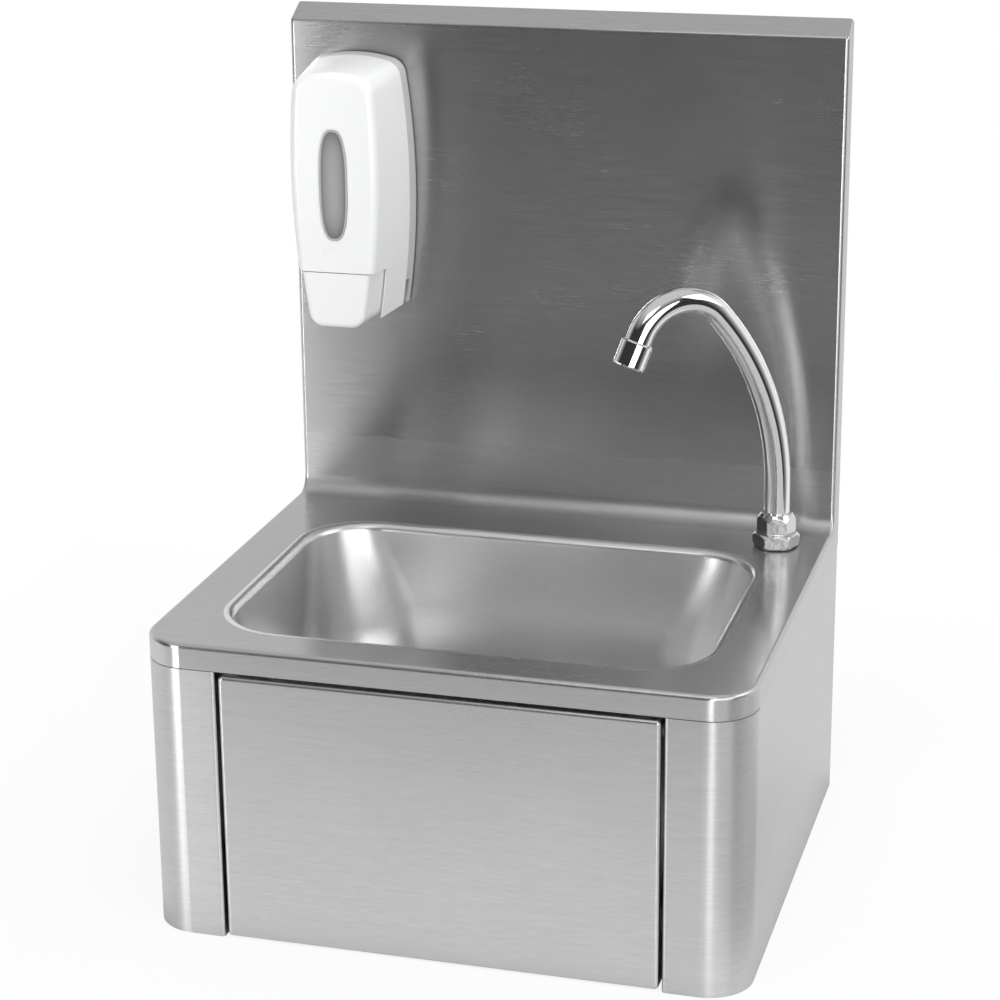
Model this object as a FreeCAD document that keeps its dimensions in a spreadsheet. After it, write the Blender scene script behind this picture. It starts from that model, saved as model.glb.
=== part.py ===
import FreeCAD, Part
import math
import os
from types import SimpleNamespace

import Sketcher

# Knee-operated hand-wash sink, in millimetres. The origin is the centre of the four wall holes,
# on the wall plane. X runs to the right, Y into the wall and Z up, so the front faces -Y.
SIZES = {
    # casing and folded sheet
    "sink_width": 400,
    "sink_depth": 340,
    "casing_height": 204,
    "splash_height": 361,
    "splash_depth": 18,
    "splash_top_drop": 10,
    "sheet_thickness": 1.2,
    "apron_height": 16.5,
    "corner_radius": 30,
    "edge_radius": 3,
    "cove_radius": 12,
    "fold_radius": 2.5,
    "stile_width": 53.5,
    "stile_return": 22,
    "rear_flange": 34,
    "hem_width": 12,
    "seam_gap": 0.5,
    # wall fixing
    "wall_hole_radius": 4.25,
    "wall_hole_inset": 18,
    "wall_hole_spacing_up": 120,
    # bowl and its drain seat
    "side_rim": 34,
    "front_rim": 30,
    "rear_rim": 78,
    "bowl_corner_radius": 48,
    "room_below_bowl": 68,
    "lip_radius": 5.5,
    "lip_land": 0.8,
    "wall_slope_inset": 8,
    "floor_flat_half": 20,
    "floor_corner_spare": 17,
    "seat_radius": 43,
    "seat_recess": 4,
    "drain_hole_radius": 25.5,
    # knee panel and its pivot
    "panel_gap_side": 2,
    "panel_gap_top": 3,
    "panel_gap_bottom": 1,
    "panel_depth": 20,
    "panel_corner_radius": 3,
    "pivot_drop": 29,
    "pivot_setback": 11,
    "pin_radius": 3,
    "pin_head_radius": 5.5,
    "pin_head_thickness": 2.4,
    "pin_inset": 5,
    "bush_radius": 4.6,
    "bush_flange_radius": 5.6,
    "bush_inset": 2,
    "pivot_clearance": 0.06,
    "bush_end_clearance": 0.4,
    "stop_clearance": 0.4,
    "stop_reach": 9,
    "stop_height": 16,
    "stop_rise": 30,
    "pad_width": 36,
    "pad_height": 40,
    "pad_thickness": 7,
    # valve rail and valve
    "rail_setback": 44,
    "rail_sheet": 1.5,
    "rail_depth": 16,
    "rail_rise": 10,
    "rail_height": 52,
    "valve_rise": 40,
    "valve_radius": 17,
    "valve_length": 60,
    "nose_radius": 11,
    "nose_reach": 9,
    "nose_clearance": 0.2,
    "spigot_radius": 10,
    "spigot_length": 12,
    "outlet_radius": 9,
    "outlet_reach": 16,
    "outlet_setback": 36,
    "plunger_radius": 5,
    "plunger_clearance": 0.06,
    "plunger_head_radius": 10.5,
    "plunger_head_thickness": 5.5,
    "plunger_crown": 2,
    "plunger_gap": 0.5,
    "plunger_tail": 26,
    "plunger_bore": 46,
    "valve_spring_radius": 8,
    "valve_spring_wire": 0.7,
    "valve_spring_turns": 4,
    "spring_seat_gap": 0.15,
    "locknut_flats": 32,
    "locknut_thickness": 6,
    # mixing tee and inlets
    "union_flats": 30,
    "union_length": 14,
    "tee_radius": 13,
    "tee_clearance": 4,
    "tee_setback": 17,
    "inlet_end_margin": 13,
    "inlet_boss_radius": 11.5,
    "inlet_boss_drop": 16,
    "inlet_flats": 22,
    "inlet_hex_height": 7,
    "inlet_thread_radius": 10.4775,
    "inlet_thread_length": 14,
    "inlet_bore_radius": 6.5,
    # hose
    "hose_radius": 6,
    "hose_start_run": 21,
    "hose_sweep": 64,
    "hose_nut_flats": 24,
    "hose_nut_length": 13,
    "hose_ferrule_radius": 7.6,
    "hose_ferrule_length": 12,
    # spout
    "spout_inset": 35,
    "spout_setback": 59,
    "tap_hole_radius": 10.6,
    "spout_seal_radius": 15,
    "spout_seal_thickness": 1,
    "base_corner_radius": 16.6,
    "base_hex_height": 9.5,
    "base_chamfer": 2.4,
    "shank_radius": 10,
    "shank_length": 48,
    "shank_bore": 6,
    "collar_radius": 13.7,
    "collar_straight": 9.5,
    "collar_dome": 5,
    "collar_top_radius": 10.6,
    "collar_foot_chamfer": 0.8,
    "collar_cavity_height": 3,
    "o_ring_section": 0.9,
    "tube_radius": 9,
    "tube_wall": 1.2,
    "tube_clearance": 0.07,
    "tube_socket": 5,
    "neck_rise": 43,
    "neck_long_radius": 196.4,
    "neck_long_angle": 41.6,
    "neck_bend_radius": 34.9,
    "neck_bend_angle": 114.6,
    "neck_end": 12,
    "spout_heading": 219.5,
    "aerator_radius": 11,
    "aerator_start": 4.5,
    "aerator_length": 18,
    "aerator_mouth_radius": 9.2,
    "aerator_rim": 1.2,
    "insert_thickness": 3,
    "deck_washer_radius": 17,
    "deck_washer_thickness": 2,
    "deck_nut_flats": 30,
    "deck_nut_thickness": 7,
    # drain
    "waste_gasket_thickness": 1,
    "waste_flange_radius": 35,
    "waste_flange_thickness": 1.8,
    "waste_cup_radius": 24,
    "waste_cup_wall": 1.6,
    "waste_cup_depth": 7,
    "grid_hole_radius": 3.6,
    "grid_ring_radius": 14,
    "waste_screw_radius": 3,
    "waste_screw_head_radius": 6,
    "waste_screw_head_thickness": 2.4,
    "waste_screw_length": 30,
    "waste_seal_thickness": 3,
    "waste_body_radius": 36,
    "waste_body_rim": 4,
    "waste_cone_height": 12,
    "waste_thread_radius": 23.9,
    "waste_thread_length": 36,
    "waste_bore_radius": 20,
    "waste_hub_radius": 6.5,
    "waste_rib": 4,
    # soap dispenser, heights above its datum and depths from the upstand
    "soap_inset": 51,
    "soap_datum_drop": 364,
    "soap_low": 154,
    "soap_high": 333,
    "soap_front_low": 147,
    "soap_front_high": 326.5,
    "soap_shoulder_drop": 6,
    "soap_depth": 62,
    "soap_rear_low": 35.8,
    "soap_rear_middle": 41.9,
    "soap_rear_top": 34.6,
    "soap_front_low_half": 21,
    "soap_front_middle": 31,
    "soap_front_top": 28.5,
    "soap_corner_radius": 13,
    "soap_edge_radius": 6,
    "soap_wall": 2.2,
    "tray_depth": 10.7,
    "tray_floor": 2.5,
    "cover_gap": 0.4,
    "cover_axis_depth": 14,
    "cover_axis_rise": 6,
    "tray_relief_depth": 5.4,
    "tray_relief_rise": 17,
    "ear_inner": 25,
    "ear_thickness": 4,
    "ear_height": 16,
    "cover_pin_radius": 2,
    "cover_pin_inner": 24,
    "cover_pin_outer": 32,
    "soap_pin_clearance": 0.06,
    "window_half_height": 39,
    "window_half_width": 10.2,
    "window_middle": 248,
    "window_step": 1.1,
    "window_step_depth": 0.7,
    "badge_half_width": 8,
    "badge_half_height": 3,
    "badge_middle": 200,
    "badge_depth": 0.3,
    "lever_seam": 186,
    "lever_side_depth": 40,
    "lever_rear_depth": 32,
    "lever_inset": 2.6,
    "lever_wall": 2,
    "lever_drop": 1.5,
    "lever_seam_gap": 0.6,
    "lever_axis_depth": 44,
    "lever_axis_rise": 5,
    "lever_ear_half": 5.5,
    "lever_ear_rise": 11,
    "lever_pin_radius": 1.5,
    "lever_pin_inner": 23.5,
    "lever_pin_outer": 30.6,
    "lever_slot_clearance": 1.5,
    "lever_slot_run": 9,
    "bottle_low": 202,
    "bottle_high": 301,
    "bottle_rear": 6,
    "bottle_inset": 7,
    "bottle_round": 5,
    "cap_radius": 15,
    "cap_height": 8,
    "cap_depth": 30,
    "pump_rise": 164,
    "pump_radius": 9,
    "pump_rear": 14,
    "pump_front": 42,
    "pump_neck_radius": 7,
    "pump_neck_depth": 30,
    "pump_nozzle_radius": 4,
    "pump_nozzle_drop": 17,
    "pump_stem_half": 7,
    "piston_radius": 4,
    "piston_clearance": 0.06,
    "piston_head_radius": 8,
    "piston_head_thickness": 4,
    "piston_crown": 1.8,
    "piston_gap": 0.6,
    "piston_tail": 16,
    "piston_bore": 24,
    "pump_spring_radius": 6,
    "pump_spring_wire": 0.5,
    "pump_spring_turns": 4,
    "screw_radius": 2,
    "screw_head_radius": 4,
    "screw_head_thickness": 2.2,
    "screw_length": 13,
    "screw_low": 215,
    "screw_high": 290,
}

GRID_HOLES = 8
NUT_TURN_DEGREES = 11.5
OVAL_STEPS = 48
OVAL_BLUNT_SHARE = 0.72
VALVE_ACROSS_SHARE = 0.4
SPRING_STEPS_PER_TURN = 4
SPRING_SAMPLES_PER_ARC = 12

doc = FreeCAD.newDocument("knee_sink")
sheet = doc.addObject("Spreadsheet::Sheet", "Sizes")
for row, (alias, number) in enumerate(SIZES.items(), start=1):
    sheet.set("A%d" % row, alias)
    sheet.set("B%d" % row, str(number))
    sheet.setAlias("B%d" % row, alias)
doc.recompute()


class Size:
    """A size: its value now, and the expression over the sheet that gives it."""

    def __init__(self, value, text):
        self.value = value
        self.text = text

    def __float__(self):
        return self.value

    def __add__(self, other):
        other = as_size(other)
        return Size(self.value + other.value, "(%s + %s)" % (self.text, other.text))

    def __sub__(self, other):
        other = as_size(other)
        return Size(self.value - other.value, "(%s - %s)" % (self.text, other.text))

    def __mul__(self, other):
        other = as_size(other)
        return Size(self.value * other.value, "(%s * %s)" % (self.text, other.text))

    def __truediv__(self, other):
        other = as_size(other)
        return Size(self.value / other.value, "(%s / %s)" % (self.text, other.text))

    def __neg__(self):
        return Size(-self.value, "(0 - %s)" % self.text)


def as_size(number):
    """A plain number as a size."""
    if isinstance(number, Size):
        return number
    return Size(float(number), "(%s)" % repr(number))


def bind(thing, path, number):
    """Drive one property of a document object from the sheet."""
    thing.setExpression(path, as_size(number).text)


S = SimpleNamespace(**{name: Size(float(sheet.get(name)), "Sizes." + name) for name in SIZES})

TURNS = {
    "+Z": FreeCAD.Rotation(),
    "-Z": FreeCAD.Rotation(FreeCAD.Vector(1, 0, 0), 180),
    "+X": FreeCAD.Rotation(FreeCAD.Vector(0, 1, 0), 90),
    "-X": FreeCAD.Rotation(FreeCAD.Vector(0, 1, 0), -90),
    "+Y": FreeCAD.Rotation(FreeCAD.Vector(1, 0, 0), -90),
    "-Y": FreeCAD.Rotation(FreeCAD.Vector(1, 0, 0), 90),
}

half_width = S.sink_width / 2
deck = S.casing_height / 2
floor = -deck
apron_low = deck - S.apron_height
half_opening = half_width - S.stile_width
half_panel = half_opening - S.panel_gap_side
front = -S.sink_depth
upstand = -S.splash_depth
bowl_half_width = half_width - S.side_rim
bowl_half_length = (S.sink_depth - S.front_rim - S.rear_rim) / 2
bowl_middle = front + S.front_rim + bowl_half_length
bowl_low = floor + S.room_below_bowl
tap_x = half_width - S.spout_inset
tap_y = -S.spout_setback
valve_x = half_width * VALVE_ACROSS_SHARE
soap_x = S.soap_inset - half_width
soap_datum = deck + S.splash_height - S.soap_datum_drop


def place(thing, at, axis="+Z"):
    """Put a document object at a point, its own Z turned to an axis."""
    thing.Placement = FreeCAD.Placement(FreeCAD.Vector(*[float(c) for c in at]), TURNS[axis])
    for name, coordinate in zip("xyz", at):
        bind(thing, "Placement.Base." + name, coordinate)
    return thing


def new_body(name):
    """An empty body."""
    return doc.addObject("PartDesign::Body", name)


def sketch_on(body, role, lift=0):
    """A sketch on one of the body's own planes, lifted along its normal."""
    plane = [item for item in body.Origin.OriginFeatures if item.Role == role][0]
    sketch = body.newObject("Sketcher::SketchObject", body.Name + "_sketch")
    sketch.AttachmentSupport = (plane, [""])
    sketch.MapMode = "FlatFace"
    bind(sketch, "AttachmentOffset.Base.z", lift)
    return sketch


def fix_point(sketch, jobs, geometry, end, x, y):
    """List the two constraints that hold a point at x and y."""
    for kind, axis, coordinate in (("DistanceX", -2, x), ("DistanceY", -1, y)):
        if isinstance(coordinate, Size):
            jobs.append((Sketcher.Constraint(kind, -1, 1, geometry, end, float(coordinate)), coordinate))
        else:
            jobs.append((Sketcher.Constraint("PointOnObject", geometry, end, axis), None))


def settle(sketch, jobs):
    """Add the listed constraints and drive those that have a size."""
    start = sketch.ConstraintCount
    sketch.addConstraint([job[0] for job in jobs])
    for index, job in enumerate(jobs, start=start):
        if job[1] is not None:
            sketch.setExpression("Constraints[%d]" % index, job[1].text)


def outline(sketch, corners):
    """A closed outline. A corner is x, y and, where its two sides are square, a radius."""
    count = len(corners)
    plain = [(float(c[0]), float(c[1])) for c in corners]
    arrive = []
    leave = []
    for i, corner in enumerate(corners):
        ends = []
        for other in (plain[i - 1], plain[(i + 1) % count]):
            x, y = corner[0], corner[1]
            if len(corner) == 3:
                along_x = other[0] - plain[i][0]
                along_y = other[1] - plain[i][1]
                if abs(along_x) > abs(along_y):
                    x = as_size(x) + corner[2] * math.copysign(1, along_x)
                else:
                    y = as_size(y) + corner[2] * math.copysign(1, along_y)
            ends.append((x, y))
        arrive.append(ends[0])
        leave.append(ends[1])
    jobs = []
    lines = []
    for i in range(count):
        first = leave[i - 1]
        second = arrive[i]
        begin = FreeCAD.Vector(float(first[0]), float(first[1]), 0)
        finish = FreeCAD.Vector(float(second[0]), float(second[1]), 0)
        lines.append(sketch.addGeometry(Part.LineSegment(begin, finish), False))
    for i in range(count):
        following = lines[(i + 1) % count]
        fix_point(sketch, jobs, lines[i], 2, arrive[i][0], arrive[i][1])
        if len(corners[i]) == 2:
            jobs.append((Sketcher.Constraint("Coincident", lines[i], 2, following, 1), None))
            continue
        fix_point(sketch, jobs, following, 1, leave[i][0], leave[i][1])
        begin = FreeCAD.Vector(float(arrive[i][0]), float(arrive[i][1]), 0)
        finish = FreeCAD.Vector(float(leave[i][0]), float(leave[i][1]), 0)
        sharp = FreeCAD.Vector(plain[i][0], plain[i][1], 0)
        centre = begin + finish - sharp
        middle = centre + (sharp - centre).normalize() * float(corners[i][2])
        arc = sketch.addGeometry(Part.Arc(begin, middle, finish), False)
        start_at = sketch.getPoint(arc, 1)
        forward = (start_at - begin).Length < (start_at - finish).Length
        head, tail = (1, 2) if forward else (2, 1)
        jobs.append((Sketcher.Constraint("Coincident", lines[i], 2, arc, head), None))
        jobs.append((Sketcher.Constraint("Coincident", following, 1, arc, tail), None))
        jobs.append((Sketcher.Constraint("Radius", arc, float(corners[i][2])), as_size(corners[i][2])))
    settle(sketch, jobs)
    return sketch


def ring(sketch, x, y, radius):
    """A circle in a sketch."""
    centre = FreeCAD.Vector(float(x), float(y), 0)
    circle = sketch.addGeometry(Part.Circle(centre, FreeCAD.Vector(0, 0, 1), float(radius)), False)
    jobs = []
    fix_point(sketch, jobs, circle, 3, x, y)
    jobs.append((Sketcher.Constraint("Radius", circle, float(radius)), as_size(radius)))
    settle(sketch, jobs)
    return sketch


def rectangle(low_x, low_y, high_x, high_y):
    """Four square corners."""
    return [(low_x, low_y), (high_x, low_y), (high_x, high_y), (low_x, high_y)]


def rounded(half_x, half_y, middle_y, radius):
    """A rounded rectangle about x = 0."""
    low = middle_y - half_y
    high = middle_y + half_y
    return [
        (-half_x, low, radius),
        (half_x, low, radius),
        (half_x, high, radius),
        (-half_x, high, radius),
    ]


def pad(body, sketch, length, reverse=False):
    """A pad of a sketch."""
    feature = body.newObject("PartDesign::Pad", body.Name + "_pad")
    feature.Profile = sketch
    feature.Reversed = reverse
    bind(feature, "Length", length)
    return feature


def pocket(body, sketch, length):
    """A pocket of a sketch, against its normal."""
    feature = body.newObject("PartDesign::Pocket", body.Name + "_pocket")
    feature.Profile = sketch
    bind(feature, "Length", length)
    return feature


def loft(body, kind, first, second):
    """A loft between two sketches."""
    feature = body.newObject("PartDesign::" + kind, body.Name + "_loft")
    feature.Profile = first
    feature.Sections = [second]
    feature.Ruled = True
    return feature


def fillet(body, base, radius, wanted):
    """Round the edges of a feature that a test wants."""
    doc.recompute()
    names = ["Edge%d" % i for i, edge in enumerate(base.Shape.Edges, start=1) if wanted(edge)]
    feature = body.newObject("PartDesign::Fillet", body.Name + "_fillet")
    feature.Base = (base, names)
    bind(feature, "Radius", radius)
    return feature


def shell(body, base, thickness, wanted):
    """Hollow a feature inward, open at the faces that a test wants."""
    doc.recompute()
    names = ["Face%d" % i for i, face in enumerate(base.Shape.Faces, start=1) if wanted(face)]
    feature = body.newObject("PartDesign::Thickness", body.Name + "_shell")
    feature.Base = (base, names)
    feature.Reversed = True
    bind(feature, "Value", thickness)
    return feature


def near(first, second):
    """Two lengths that agree, for choosing edges and faces."""
    return abs(float(first) - float(second)) < float(S.sheet_thickness) / 50


def lies_at(shape, axis, where):
    """An edge or face that lies wholly at one coordinate of an axis."""
    box = shape.BoundBox
    low = getattr(box, axis + "Min")
    high = getattr(box, axis + "Max")
    return near(low, where) and near(high, where)


def turned(name, at, axis, profile):
    """A turned piece: radius and height corners, spun about its own Z."""
    body = new_body(name)
    sketch = outline(sketch_on(body, "XZ_Plane"), profile)
    feature = body.newObject("PartDesign::Revolution", name + "_turn")
    feature.Profile = sketch
    feature.ReferenceAxis = (sketch, ["V_Axis"])
    feature.Angle = 360
    return place(body, at, axis)


def box(name, low, high):
    """A box between two corners."""
    thing = doc.addObject("Part::Box", name)
    for path, a, b in zip(("Length", "Width", "Height"), low, high):
        bind(thing, path, as_size(b) - a)
    return place(thing, low)


def cylinder(name, at, axis, radius, height):
    """A cylinder along an axis."""
    thing = doc.addObject("Part::Cylinder", name)
    bind(thing, "Radius", radius)
    bind(thing, "Height", height)
    return place(thing, at, axis)


def hexagon(name, at, axis, flats, height, turn=0):
    """A hexagonal prism along an axis, by its width across flats, turned about that axis."""
    thing = doc.addObject("Part::Prism", name)
    thing.Polygon = 6
    bind(thing, "Circumradius", flats / math.sqrt(3))
    bind(thing, "Height", height)
    place(thing, at, axis)
    about_own_axis = FreeCAD.Rotation(FreeCAD.Vector(0, 0, 1), turn)
    thing.Placement.Rotation = TURNS[axis].multiply(about_own_axis)
    return thing


def join(name, things):
    """One solid of several."""
    thing = doc.addObject("Part::MultiFuse", name)
    thing.Shapes = things
    thing.Refine = True
    return thing


def less(name, base, tools):
    """A solid with others taken out of it."""
    thing = doc.addObject("Part::Cut", name)
    thing.Base = base
    thing.Tool = tools[0] if len(tools) == 1 else join(name + "_tools", tools)
    return thing


def shared(name, first, second):
    """What two solids share."""
    thing = doc.addObject("Part::Common", name)
    thing.Base = first
    thing.Tool = second
    return thing


def mirrored(name, source, about=0):
    """A copy across a plane of constant x."""
    thing = doc.addObject("Part::Mirroring", name)
    thing.Source = source
    thing.Normal = (1, 0, 0)
    bind(thing, "Base.x", about)
    return thing


def grouped(name, things):
    """Several loose solids as one piece."""
    thing = doc.addObject("Part::Compound", name)
    thing.Links = things
    return thing


pieces = []


def piece(thing, label):
    """List a finished piece under its own name."""
    thing.Label = label
    pieces.append(thing)
    return thing


def formed(label, shape):
    """A piece whose form is worked out from the sheet in code."""
    thing = doc.addObject("Part::Feature", label + "_form")
    thing.Shape = shape
    return thing


def make_deck():
    """Deck, apron and upstand with its sloped top, folded from one sheet and open below and behind."""
    body = new_body("deck_body")
    slab = outline(
        sketch_on(body, "XY_Plane", apron_low),
        [
            (-half_width, front, S.corner_radius),
            (half_width, front, S.corner_radius),
            (half_width, 0),
            (-half_width, 0),
        ],
    )
    pad(body, slab, S.apron_height)
    top = deck + S.splash_height
    brow = top - S.splash_top_drop
    block = outline(
        sketch_on(body, "YZ_Plane", -half_width), [(upstand, deck), (0, deck), (0, top), (upstand, brow)]
    )
    feature = pad(body, block, S.sink_width)
    feature = fillet(
        body, feature, S.cove_radius, lambda e: lies_at(e, "Y", upstand) and lies_at(e, "Z", deck)
    )
    feature = fillet(
        body,
        feature,
        S.edge_radius,
        lambda e: near(e.BoundBox.ZMax, top) and near(e.BoundBox.ZMin, brow) and near(e.BoundBox.XLength, 0),
    )

    def on_visible_rim(edge):
        """The chain of edges round the deck, up the cove and over the upstand."""
        extent = edge.BoundBox
        if near(extent.YMax, 0):
            return False
        side = lies_at(edge, "X", half_width) or lies_at(edge, "X", -half_width)
        rim = lies_at(edge, "Z", deck) and not lies_at(edge, "Y", upstand - S.cove_radius)
        upright = lies_at(edge, "Y", upstand) and not lies_at(edge, "Z", deck + S.cove_radius)
        return rim or upright or (side and extent.ZMin > float(deck) - 1e-6)

    feature = fillet(body, feature, S.edge_radius, on_visible_rim)
    shell(
        body, feature, S.sheet_thickness, lambda f: lies_at(f, "Y", 0) or lies_at(f, "Z", apron_low)
    )
    mouth = sketch_on(body, "XY_Plane", deck + S.sheet_thickness)
    outline(
        mouth,
        rounded(bowl_half_width, bowl_half_length, bowl_middle, S.bowl_corner_radius),
    )
    ring(mouth, tap_x, tap_y, S.tap_hole_radius)
    pocket(body, mouth, S.sheet_thickness * 3)
    fixing = sketch_on(body, "XZ_Plane", S.splash_depth + S.sheet_thickness)
    ring(fixing, soap_x, soap_datum + S.screw_low, S.screw_radius)
    ring(fixing, soap_x, soap_datum + S.screw_high, S.screw_radius)
    pocket(body, fixing, S.sheet_thickness * 3)
    piece(body, "deck_backsplash")


def make_bowl():
    """Pressed bowl: steep walls that sweep into a round floor, rolled lip, drain seat and hole."""
    middle = bowl_middle
    inset = S.lip_radius + S.lip_land
    low = bowl_low
    skin = S.sheet_thickness
    slope = S.wall_slope_inset
    lip = rounded(bowl_half_width, bowl_half_length, middle, S.bowl_corner_radius)
    floor_radius = bowl_half_length - inset - slope - S.floor_flat_half

    def form(name, extra):
        """The walls as a loft, grown by a skin, with a rounded floor."""
        body = new_body(name)
        half_x = bowl_half_width - inset + extra
        half_y = bowl_half_length - inset + extra
        mouth = outline(
            sketch_on(body, "XY_Plane", deck),
            rounded(half_x, half_y, middle, S.bowl_corner_radius - inset + extra),
        )
        base = outline(
            sketch_on(body, "XY_Plane", low - extra),
            rounded(half_x - slope, half_y - slope, middle, floor_radius + S.floor_corner_spare + extra),
        )
        feature = loft(body, "AdditiveLoft", mouth, base)
        fillet(body, feature, floor_radius + extra, lambda e: lies_at(e, "Z", low - extra))
        return body

    def inside_lip(edge, height):
        """An edge at one height that isn't on the lip's own outline."""
        extent = edge.BoundBox
        wide = max(abs(extent.XMin), abs(extent.XMax))
        long = max(abs(extent.YMin - float(middle)), abs(extent.YMax - float(middle)))
        spare = float(S.lip_land) / 2
        within = wide < float(bowl_half_width) - spare and long < float(bowl_half_length) - spare
        return within and lies_at(edge, "Z", height)

    body = form("bowl_body", skin)
    plate = outline(sketch_on(body, "XY_Plane", deck), lip)
    feature = pad(body, plate, skin, True)
    fillet(body, feature, S.lip_radius - skin, lambda e: inside_lip(e, deck - skin))
    seat_start = S.seat_recess * 2
    seat = ring(sketch_on(body, "XY_Plane", low + seat_start), 0, middle, S.seat_radius + skin)
    pad(body, seat, seat_start + S.seat_recess + skin, True)

    cavity = form("bowl_cavity", as_size(0))
    above = outline(sketch_on(cavity, "XY_Plane", deck), lip)
    feature = pad(cavity, above, skin * 4)
    fillet(cavity, feature, S.lip_radius, lambda e: inside_lip(e, deck))
    hollow = ring(sketch_on(cavity, "XY_Plane", low + seat_start), 0, middle, S.seat_radius)
    pad(cavity, hollow, seat_start + S.seat_recess, True)
    hole = cylinder(
        "drain_hole", (0, middle, low - S.seat_recess * 2), "+Z", S.drain_hole_radius, S.seat_recess * 3
    )
    piece(less("bowl_cut", body, [cavity, hole]), "bowl")


def make_sides():
    """The two folded sides: wall flange, side, round corner, stile, return and bottom hem."""
    skin = S.sheet_thickness
    fold = S.fold_radius
    body = new_body("side_body")
    stile = half_opening
    walls = outline(
        sketch_on(body, "XY_Plane", floor),
        [
            (half_width - S.rear_flange, 0),
            (half_width - S.rear_flange, -skin),
            (half_width - skin, -skin, fold - skin),
            (half_width - skin, front + skin, S.corner_radius - skin),
            (stile + skin, front + skin, fold - skin),
            (stile + skin, front + S.stile_return),
            (stile, front + S.stile_return),
            (stile, front, fold),
            (half_width, front, S.corner_radius),
            (half_width, 0, fold),
        ],
    )
    pad(body, walls, S.casing_height - S.apron_height)
    hem = outline(
        sketch_on(body, "XY_Plane", floor),
        [
            (half_width - skin / 2, -skin * 4),
            (half_width - S.hem_width, -skin * 4),
            (half_width - S.hem_width, front + S.hem_width, S.corner_radius - S.hem_width),
            (stile + skin * 3, front + S.hem_width),
            (stile + skin * 3, front + skin / 2),
            (half_width - skin / 2, front + skin / 2, S.corner_radius - skin / 2),
        ],
    )
    pad(body, hem, skin)
    seam = box(
        "side_seam",
        (stile - skin, front - skin, apron_low - S.seam_gap),
        (half_width + skin, front + S.corner_radius, apron_low + skin),
    )
    tools = [seam]
    for sign in (-1, 1):
        tools.append(
            cylinder(
                "wall_hole",
                (half_width - S.wall_hole_inset, -skin * 2, S.wall_hole_spacing_up / 2 * sign),
                "+Y",
                S.wall_hole_radius,
                skin * 3,
            )
        )
    tools.append(
        cylinder(
            "stile_hole",
            (stile - skin, front + S.pivot_setback, deck - S.pivot_drop),
            "+X",
            S.pin_radius,
            skin * 3,
        )
    )
    right = piece(less("side_right_cut", body, tools), "casing_right")
    piece(mirrored("side_left_copy", right), "casing_left")


def make_rail():
    """Cross rail: a shallow folded tray, open behind, with the valve's hole."""
    body = new_body("rail_body")
    low = floor + S.rail_rise
    half = half_width - S.sheet_thickness
    face = outline(
        sketch_on(body, "XZ_Plane", S.sink_depth - S.rail_setback),
        rectangle(-half, low, half, low + S.rail_height),
    )
    feature = pad(body, face, S.rail_depth, True)
    y_front = front + S.rail_setback
    feature = fillet(
        body,
        feature,
        S.fold_radius,
        lambda e: lies_at(e, "Y", y_front) and e.BoundBox.ZLength < float(S.sheet_thickness),
    )
    shell(body, feature, S.rail_sheet, lambda f: lies_at(f, "Y", y_front + S.rail_depth))
    hole = cylinder(
        "rail_hole",
        (valve_x, y_front - S.rail_sheet, floor + S.valve_rise),
        "+Y",
        S.nose_radius + S.nose_clearance,
        S.rail_sheet * 3,
    )
    piece(less("rail_cut", body, [hole]), "valve_rail")


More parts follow.
